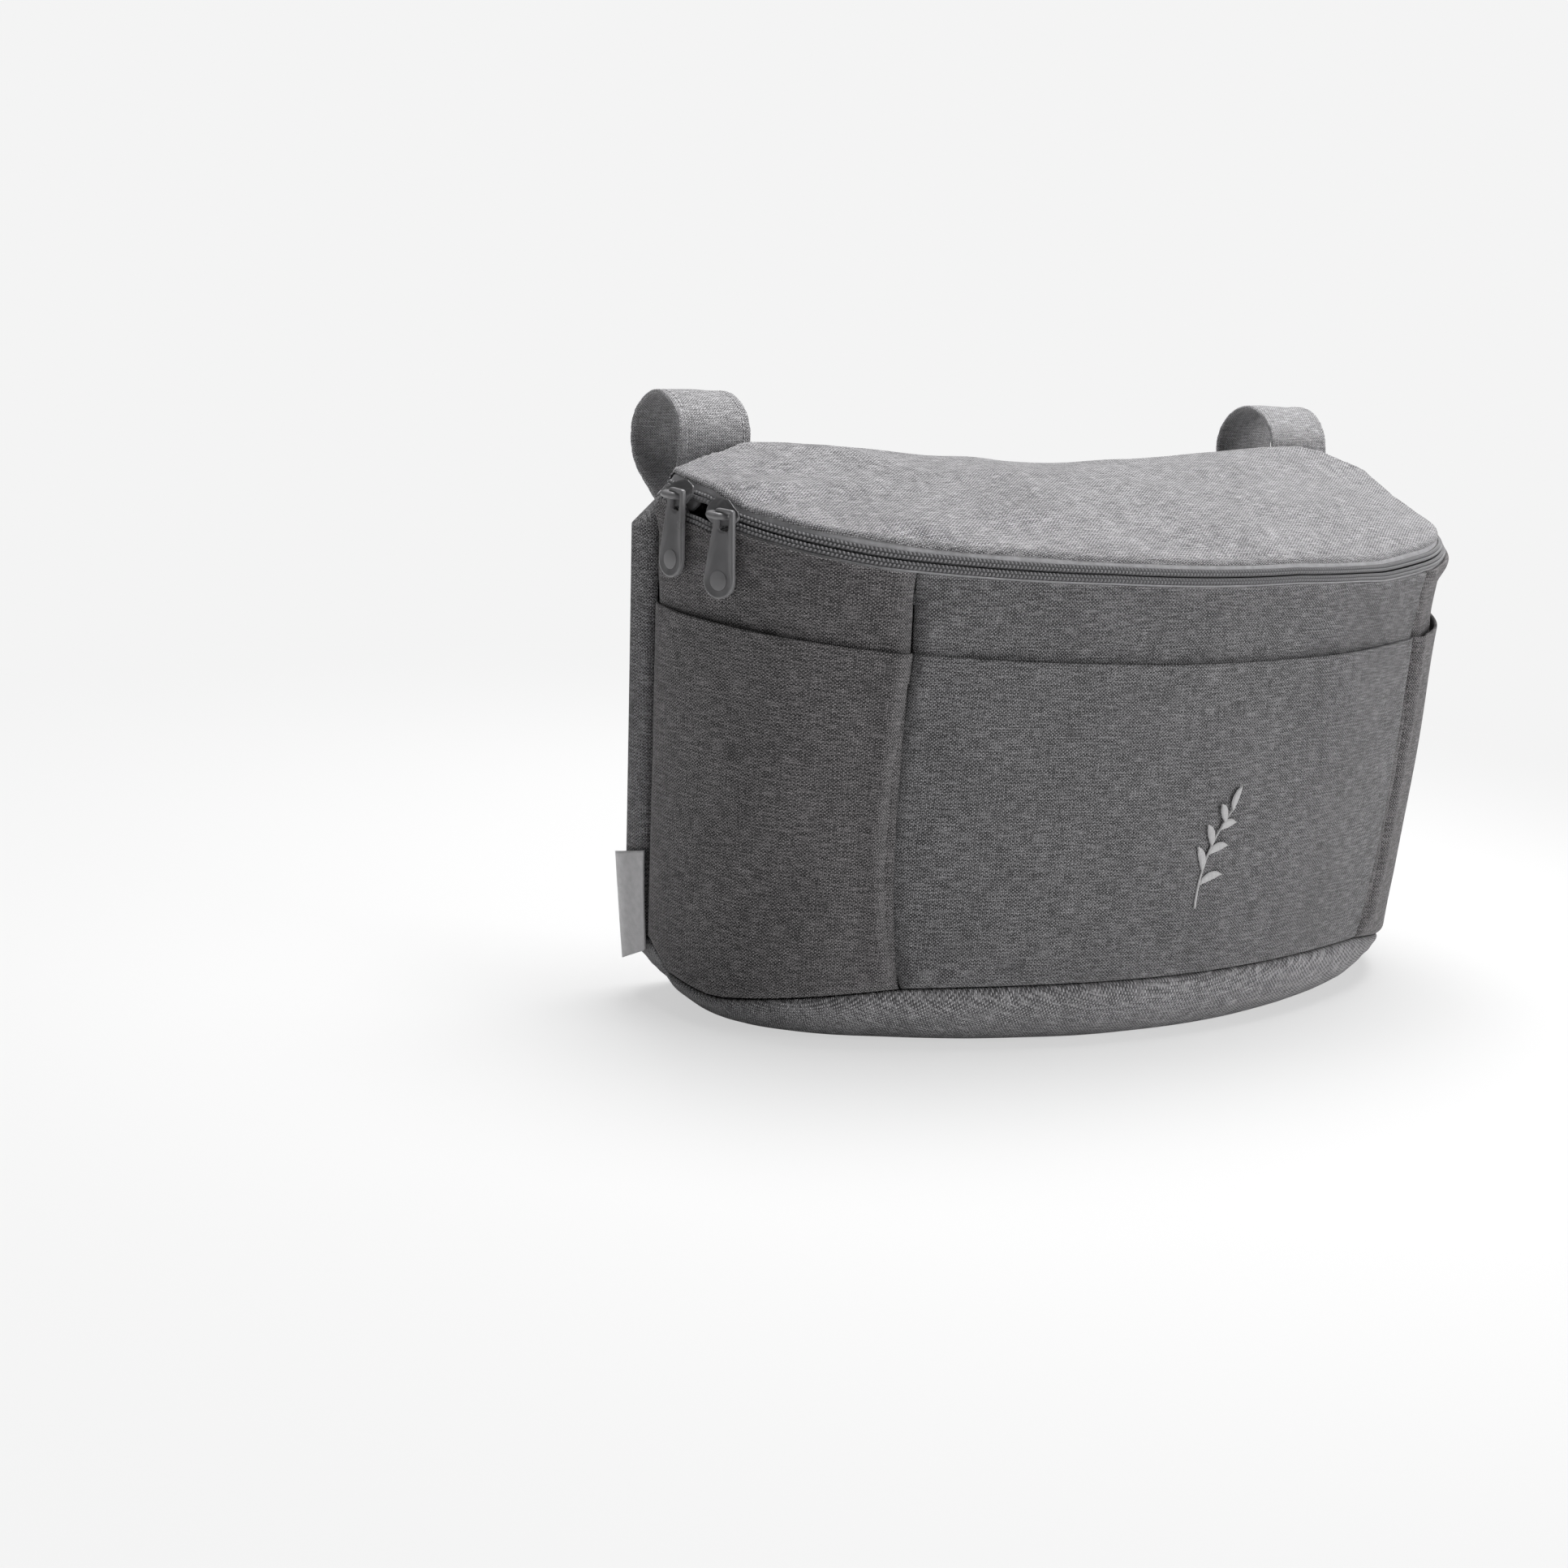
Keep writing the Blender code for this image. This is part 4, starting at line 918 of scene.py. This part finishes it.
PLATES = (
    ("plate", (0.0118, 0.0084, 0.0062, 0.0009, 0.0018, 0.0008), 0.00035),
    ("under", (0.0128, 0.0070, 0.0060, -0.0042, -0.0032, 0.0), 0.0003),
    ("post", (0.0040, 0.0005, 0.0005, -0.0034, 0.0006, 0.0), 0.0),
)
for side in SLIDERS:
    body = f"slider_{side}"
    for part, sizes, bevel in PLATES:
        nodes = [body] if part == "plate" else ()
        shape = plate(side, *sizes)
        finish_shape(f"slider_{part}_{side}", shape, slider_paint, body, nodes, bevel)
    middle, outward, along = slider_spot(side)
    reach = BRIDGE_REACH - 0.0014
    end = along * (BRIDGE_SPAN / 2)
    bend = [middle + end + outward * 0.0021]
    for angle in np.linspace(0, math.pi, 13)[1:-1]:
        x = math.cos(angle)
        flat = math.copysign(abs(x) ** 0.5, x)
        bend.append(middle + end * flat + outward * (reach * math.sin(angle) ** 0.5))
    bend.append(middle - end + outward * 0.0021)
    finish_shape(f"slider_bridge_{side}", bar(bend, 0.00125), slider_paint, body)


# The pull tabs are flat castings with a slot for the bridge and a raised rim. Each hangs from its
# slider's bridge, and its round end carries a low flat pad.
TAB_LENGTH = 0.0305
TAB_TOP_HALF = 0.0038
TAB_END_RADIUS = 0.0063
TAB_CORNER = 0.0012
TAB_THICKNESS = 0.0015
TAB_TOP = 0.00265
SLOT_HALF = 0.0023
SLOT_TOP = 0.00105
SLOT_LENGTH = 0.0060


TAB_END = TAB_TOP - TAB_LENGTH + TAB_END_RADIUS


def tab_edge():
    """The tab's outline in its own plane, across and up from the pivot, going round clockwise."""
    quarter = np.linspace(0, math.pi / 2, 7)
    corner_x = TAB_TOP_HALF + TAB_CORNER * (np.sin(quarter) - 1)
    corner_y = TAB_TOP + TAB_CORNER * (np.cos(quarter) - 1)
    part = np.linspace(0, 1, 16)[1:]
    side_x = TAB_TOP_HALF + part * (TAB_END_RADIUS - TAB_TOP_HALF)
    side_y = TAB_TOP - TAB_CORNER + part * (TAB_END - TAB_TOP + TAB_CORNER)
    quarter = np.linspace(0, math.pi / 2, 15)[1:]
    x = np.concatenate([[0, TAB_TOP_HALF / 3], corner_x, side_x, TAB_END_RADIUS * np.cos(quarter)])
    y = np.concatenate([[TAB_TOP, TAB_TOP], corner_y, side_y, TAB_END - TAB_END_RADIUS * np.sin(quarter)])
    return np.concatenate([np.stack([x, y], axis=1), np.stack([-x, y], axis=1)[-2:0:-1]])


edge_line = tab_edge()
edge_ahead = np.roll(edge_line, -1, axis=0) - np.roll(edge_line, 1, axis=0)
edge_in = np.stack([edge_ahead[:, 1], -edge_ahead[:, 0]], axis=1)
edge_in /= np.linalg.norm(edge_in, axis=1)[:, None]
slot_middle = np.array([0.0, SLOT_TOP - SLOT_LENGTH / 2])
ray = edge_line - slot_middle
slot_reach = (np.abs(ray / (SLOT_HALF, SLOT_LENGTH / 2)) ** 5).sum(axis=1) ** -0.2
slot_line = slot_middle + ray * slot_reach[:, None]

for side in SLIDERS:
    middle, outward, along = slider_spot(side)
    pivot = middle + along * BRIDGE_SPAN / 2
    face = BRIDGE_REACH - 0.0018 - 0.0003
    back = face - TAB_THICKNESS
    rows = (
        (0.00, 0.0, back + 0.0002),
        (0.00, 0.0, face - 0.0002),
        (0.06, 0.0, face),
        (1.00, 0.00125, face - 0.00005),
        (1.00, 0.00095, face + 0.0003),
        (1.00, 0.00050, face + 0.0003),
        (1.00, 0.00015, face + 0.0001),
        (1.00, 0.0, face - 0.0002),
        (1.00, 0.0, back + 0.0003),
        (1.00, 0.0001, back + 0.0001),
        (1.00, 0.0003, back),
        (0.06, 0.0, back),
    )
    bm = bmesh.new()
    bmesh.ops.create_grid(bm, x_segments=len(edge_line), y_segments=len(rows), size=0.5)
    for vert in bm.verts:
        column = round((vert.co.x + 0.5) * len(edge_line)) % len(edge_line)
        share, inset, depth = rows[round((vert.co.y + 0.5) * len(rows)) % len(rows)]
        spot = slot_line[column] * (1 - share) + (edge_line[column] + inset * edge_in[column]) * share
        vert.co = pivot + along * spot[0] + Vector((0, 0, spot[1])) + outward * depth
    bmesh.ops.remove_doubles(bm, verts=bm.verts, dist=1e-7)
    body = f"puller_{side}"
    finish_shape(f"tab_{side}", bm, slider_paint, body, [body])
    pad = bmesh.new()
    bmesh.ops.create_cone(pad, cap_ends=True, segments=40, radius1=0.0034, radius2=0.0034, depth=0.0006)
    pad_spot = pivot + Vector((0, 0, TAB_END)) + outward * (face - 0.0001)
    placed = set_at(pad_spot, along, outward.cross(along), outward)
    bmesh.ops.transform(pad, matrix=placed, verts=pad.verts)
    finish_shape(f"tab_pad_{side}", pad, slider_paint, body, (), 0.00012)


# The two loops are doubled bands of the paler cloth, with a line of stitches along each edge. Each
# is sewn into the lid's back seam, turns over and down, and closes on the back.
STRAP_X = 0.142
STRAP_HALF = 0.0150
STRAP_THICKNESS = 0.0018
STRAP_STEPS = 240
STITCH_INSET = 0.0030
STITCH_COUNT = 74
STITCH_SIZE = Matrix.Diagonal((0.00024, 0.00020, 0.00085, 1.0))
LOOP_Y = 0.0782
LOOP_Z = 0.1975
STRAP_RADIUS = 0.0155 + STRAP_THICKNESS / 2
TAIL_Y = BACK_Y + 2 * 0.0012 + 3 * 0.0003 + STRAP_THICKNESS / 2
LANDING_Z = 0.170
TAIL_END_Z = 0.130
strap_cloth = melange("strap_cloth", (0.180, 0.177, 0.184, 1.0), (0.960, 0.948, 0.970, 1.0))

leave = math.atan2(LANDING_Z - LOOP_Z, TAIL_Y - LOOP_Y)
leave += math.acos(STRAP_RADIUS / math.hypot(LOOP_Y - TAIL_Y, LOOP_Z - LANDING_Z))
leave = leave - 2 * math.pi if leave > 0 else leave
over = np.linspace(math.pi, leave, 60)
strap_y = np.concatenate([[LOOP_Y - STRAP_RADIUS], LOOP_Y + STRAP_RADIUS * np.cos(over), [TAIL_Y, TAIL_Y]])
strap_z = np.concatenate([[LANDING_Z], LOOP_Z + STRAP_RADIUS * np.sin(over), [LANDING_Z, TAIL_END_Z]])
strap_run = np.concatenate([[0], np.cumsum(np.hypot(np.diff(strap_y), np.diff(strap_z)))])
STRAP_LENGTH = strap_run[-1]
even_run = np.linspace(0, STRAP_LENGTH, STRAP_STEPS + 1)
even_y = np.interp(even_run, strap_run, strap_y)
even_z = np.interp(even_run, strap_run, strap_z)
for _ in range(12):
    even_y[1:-1] = 0.25 * even_y[:-2] + 0.5 * even_y[1:-1] + 0.25 * even_y[2:]
    even_z[1:-1] = 0.25 * even_z[:-2] + 0.5 * even_z[1:-1] + 0.25 * even_z[2:]
ahead_y = np.gradient(even_y)
ahead_z = np.gradient(even_z)
ahead_size = np.hypot(ahead_y, ahead_z)
face_y = -ahead_z / ahead_size
face_z = ahead_y / ahead_size

half_thick = STRAP_THICKNESS / 2
flat_half = STRAP_HALF - half_thick
edge_turn = np.linspace(math.pi / 2, -math.pi / 2, 9)[1:]
front_run = np.linspace(-flat_half, flat_half, 45)
back_run = np.linspace(flat_half, -flat_half, 15)[1:]
round_across = half_thick * np.cos(edge_turn)
round_depth = half_thick * np.sin(edge_turn)
section_across = np.concatenate([front_run, flat_half + round_across, back_run, -flat_half - round_across])
section_depth = [0 * front_run + half_thick, round_depth, 0 * back_run - half_thick, -round_depth]
section_depth = np.concatenate(section_depth)
stitch_line = np.exp(-(((STRAP_HALF - STITCH_INSET - np.abs(section_across)) / 0.0006) ** 2))
section_depth = section_depth * (1 - 0.38 * stitch_line) + 0.00012 * np.cos(section_across / STRAP_HALF * 4)
section_steps = np.hypot(np.diff(section_across), np.diff(section_depth))
section_girth = np.concatenate([[0], np.cumsum(section_steps)])


def strap_place(centre_x, seed):
    def place(column, row):
        across = section_across[column]
        run = even_run[row]
        frayed = 0.00016 * ripple(run * 6, across, 0.004, seed) * (np.abs(across) > STRAP_HALF - 0.002)
        depth = section_depth[column] + 0.00022 * ripple(run, across, 0.020, seed + 1)
        x = centre_x + across * (1 + frayed / STRAP_HALF)
        y = even_y[row] + face_y[row] * depth
        z = even_z[row] + face_z[row] * depth
        cut = np.stack([1.25 * section_girth[column] + 0.7, 1.25 * run], axis=-1)
        return np.stack([x, y, z], axis=-1), cut

    return place


for side, turned in (("left", -1), ("right", 1)):
    centre_x = turned * STRAP_X
    place = strap_place(centre_x, 61 + turned)
    columns = np.arange(len(section_across))
    rows = np.arange(STRAP_STEPS + 1)
    node = f"strap_{side}"
    strap = sew(
        f"handlebar_loop_{side}", columns, rows, place, strap_cloth, [node], 0.0, merge=True
    )
    bm = bmesh.new()
    bm.from_mesh(strap.data)
    bmesh.ops.holes_fill(bm, edges=[edge for edge in bm.edges if edge.is_boundary])
    bmesh.ops.recalc_face_normals(bm, faces=bm.faces[:])
    bm.to_mesh(strap.data)
    bm.free()
    thread = bmesh.new()
    for line in (-1, 1):
        for number in range(3, STITCH_COUNT - 2):
            row = round(number * STRAP_STEPS / STITCH_COUNT)
            spot = Vector((centre_x + line * (STRAP_HALF - STITCH_INSET), even_y[row], even_z[row]))
            out = Vector((0, face_y[row], face_z[row]))
            forward = Vector((0, ahead_y[row], ahead_z[row])).normalized()
            grown = set_at(spot + out * 0.00078, Vector((1, 0, 0)), out, forward) @ STITCH_SIZE
            bmesh.ops.create_icosphere(thread, subdivisions=1, radius=1.0, matrix=grown)
    finish_shape(f"loop_stitching_{side}", thread, strap_cloth, "bag")


# The straps' touch fasteners are black woven patches with a pile. A patch of small loops is sewn to
# the back, and a patch of hooks to each strap's tail.
PATCH_HALF = 0.0120
PATCH_LOW = 0.132
PATCH_HIGH = 0.166
PATCH_THICKNESS = 0.0012


def fastener_pile(name, scale, strength):
    material = lacquer(name, (0.030, 0.030, 0.032), 0.8, scale, strength)
    place = add_node(material, "TexCoord").outputs["Object"]
    cell = add_node(material, "TexVoronoi", {"Vector": place, "Scale": scale})
    for node in material.node_tree.nodes:
        if node.type == "BUMP":
            node.inputs["Distance"].default_value = 0.0005
            material.node_tree.links.new(cell.outputs["Distance"], node.inputs["Height"])
    return material


loop_pile = fastener_pile("loop_pile", 1900.0, 0.9)
hook_pile = fastener_pile("hook_pile", 1100.0, 1.0)
for side, turned in (("left", -1), ("right", 1)):
    for kind, material, from_back in (("loop", loop_pile, 0.0003), ("hook", hook_pile, 0.0018)):
        bm = bmesh.new()
        bmesh.ops.create_cube(bm, size=1.0)
        middle = (turned * STRAP_X, BACK_Y + from_back + PATCH_THICKNESS / 2, (PATCH_LOW + PATCH_HIGH) / 2)
        size = (2 * PATCH_HALF, PATCH_THICKNESS, PATCH_HIGH - PATCH_LOW, 1.0)
        bmesh.ops.transform(bm, matrix=Matrix.Translation(middle) @ Matrix.Diagonal(size), verts=bm.verts)
        upright = []
        for edge in bm.edges:
            if abs(edge.verts[0].co.y - edge.verts[1].co.y) > 0.5 * PATCH_THICKNESS:
                upright.append(edge)
        bmesh.ops.bevel(bm, geom=upright, offset=0.002, segments=5, profile=0.5, affect="EDGES", material=-1)
        node = f"{kind}_patch_{side}"
        finish_shape(f"{kind}_fastener_{side}", bm, material, "bag", [node], 0.0003)


# The label is a small plain ribbon of pale satin. Its one edge is caught in the left rear seam, and
# it fans out over the corner.
satin = plain_cloth("satin", (0.400, 0.394, 0.404), 0.00022, 0.38, 0.3)
LABEL_LOW = 0.0200
LABEL_HIGH = 0.0560


def label_place(columns, rows):
    height = LABEL_LOW + rows * (LABEL_HIGH - LABEL_LOW) - columns * (0.0075 - 0.0030 * rows)
    girth = REAR_SEAM + 0.0006 + 0.0024 * (1 - rows) ** 2 - columns * (0.0150 - 0.0004 * rows)
    lift = 0.0012 + 0.0040 * columns**1.5 * (0.25 + 0.75 * rows)
    points = wall(girth, height, -lift)
    return points, np.stack([girth, height], axis=-1)


label_columns = np.linspace(0, 1, 25)
label_rows = np.linspace(0, 1, 31)
label = sew("label", label_columns, label_rows, label_place, satin, ["side_label"])


# The lining is thin grey nylon. It hangs inside the walls and lies over the base board, and a
# second piece is sewn under the lid.
nylon = plain_cloth("nylon", (0.105, 0.105, 0.110), 0.0004, 0.55, 0.2)


def lining_place(girth, rows):
    low = seam_height(girth)
    top = wall_top(girth)[..., 2] - 0.0030 - GAPE_DROP * gape(girth)
    on_wall = np.clip(rows / 0.6, 0, 1)
    height = top + on_wall * (low + 0.004 - top)
    ny = plan(SEAM_LINE, girth)[3]
    inward = 0.0058 + 0.0022 * smooth(on_wall * 3) * smooth(1 - ny)
    inward += 0.0006 * ripple(girth, height, 0.03, 71)
    hung = wall(girth, height, inward)
    fx, fy, fnx, fny = plan(FLAT_LINE, girth)
    foot = np.stack([fx - 0.005 * fnx, BACK_Y + fy - 0.004 - 0.005 * fny, 0 * fx + 0.0050], axis=-1)
    middle = np.array([0.0, BACK_Y - WALL_DEPTH / 2, 0.0050])
    slant = np.clip((rows - 0.6) / 0.1, 0, 1)[..., None]
    flat = np.clip((rows - 0.7) / 0.3, 0, 1)[..., None]
    points = hung + slant * (foot - hung)
    points = points + flat * (middle - points)
    return points, np.stack([girth, height + 0.1 * rows], axis=-1)


body_lining = sew(
    "lining_body", np.linspace(0, RING, 241), np.linspace(0, 1, 61), lining_place, nylon,
    ["body_lining"], 0.0005, merge=True,
)


def lid_lining_place(girth, rows):
    x, y, nx, ny = plan(LID_LINE, girth)
    px = (x - 0.006 * nx) * (1 - rows)
    py = (y - 0.006 * ny) * (1 - rows) - LID_DEPTH / 2 * rows
    crown = 0.0040 * (1 - (1 - rows) ** 2)
    points = on_lid(px, py, 0.0024 - crown + 0.0003 * ripple(px, py, 0.03, 72))
    points[..., 2] -= slump(girth, LID_SLUMP) * (1 - rows) ** 3
    return points, np.stack([px, py], axis=-1)


lid_lining = sew(
    "lining_lid", np.linspace(0, RING, 241), np.linspace(0, 1, 25), lid_lining_place, nylon,
    ["lid_lining"], 0.0004, merge=True,
)


# Two stiffeners of pale sheet plastic hold the flat base and the back. They keep their CAD shapes,
# and lie loose between the outer cloth and the lining.
sheet_plastic = lacquer("sheet_plastic", (0.62, 0.62, 0.60), 0.5, 600.0, 0.2)
for node in ("base_board", "back_board"):
    board_slot = bpy.data.objects[node].material_slots[0]
    board_slot.link = "OBJECT"
    board_slot.material = sheet_plastic


# A small sprig is embroidered low on the front pocket in pale satin stitch: a stem and its leaves,
# each a low mound of thread laid crosswise.
embroidery = plain_cloth("embroidery", (0.420, 0.415, 0.420), 0.0003, 0.45, 0.4)
SPRIG_GIRTH = 0.2560
SPRIG_HEIGHT = 0.0690


def stroke_place(spine, widths, height):
    """A stroke of satin stitch along a spine, given by across and up from the sprig's middle."""
    spine = np.array(spine)
    run = np.concatenate([[0], np.cumsum(np.hypot(*np.diff(spine, axis=0).T))])

    def place(columns, rows):
        at = columns * run[-1]
        sx = np.interp(at, run, spine[:, 0])
        sy = np.interp(at, run, spine[:, 1])
        tx = np.interp(at + 1e-4, run, spine[:, 0]) - np.interp(at - 1e-4, run, spine[:, 0])
        ty = np.interp(at + 1e-4, run, spine[:, 1]) - np.interp(at - 1e-4, run, spine[:, 1])
        size = np.hypot(tx, ty)
        half = np.interp(columns, np.linspace(0, 1, len(widths)), widths) / 2
        side = half * (2 * rows - 1)
        thread = 0.5 + 0.5 * np.cos(2 * math.pi * at / 0.00045)
        mound = height * np.sqrt(np.clip(1 - (2 * rows - 1) ** 2, 0, 1)) * (0.75 + 0.25 * thread)
        girth = SPRIG_GIRTH + sx - ty / size * side
        up = SPRIG_HEIGHT + sy + tx / size * side
        low = seam_height(girth)
        puff = 0.0014 * smooth((up - low) / 0.030)
        points = wall(girth, up, -0.0011 - puff - mound)
        return points, np.stack([side, at], axis=-1)

    return place


def bow(first, last, bend, count=13):
    """Points of a shallow arc."""
    first = np.array(first)
    last = np.array(last)
    chord = last - first
    side = np.array([-chord[1], chord[0]])
    return [first + part * chord + 4 * bend * part * (1 - part) * side for part in np.linspace(0, 1, count)]


stem = bow((-0.006, -0.019), (0.007, 0.018), 0.10, 25)
strokes = [(stem, (0.0011, 0.0010, 0.0008, 0.0006), 0.00045)]
for part, turned in ((0.24, 1), (0.36, -1), (0.50, 1), (0.62, -1), (0.76, 1), (0.86, -1)):
    root = stem[int(part * 24)]
    reach = 0.0125 - 0.0060 * part
    heading = math.radians(64) - turned * math.radians(46)
    tip = root + reach * np.array([math.cos(heading), math.sin(heading)])
    strokes.append((bow(root, tip, 0.12 * turned), (0.0004, 0.0026, 0.0034, 0.0028, 0.0003), 0.0006))
tip = stem[-1] + np.array([0.0022, 0.0075])
strokes.append((bow(stem[-2], tip, 0.05), (0.0004, 0.0026, 0.0032, 0.0024, 0.0003), 0.0006))
for number, (spine, widths, height) in enumerate(strokes):
    place = stroke_place(spine, widths, height)
    columns = np.linspace(0, 1, 33 if number else 161)
    sew(f"sprig_{number}", columns, np.linspace(0, 1, 9), place, embroidery, (), 0.0)
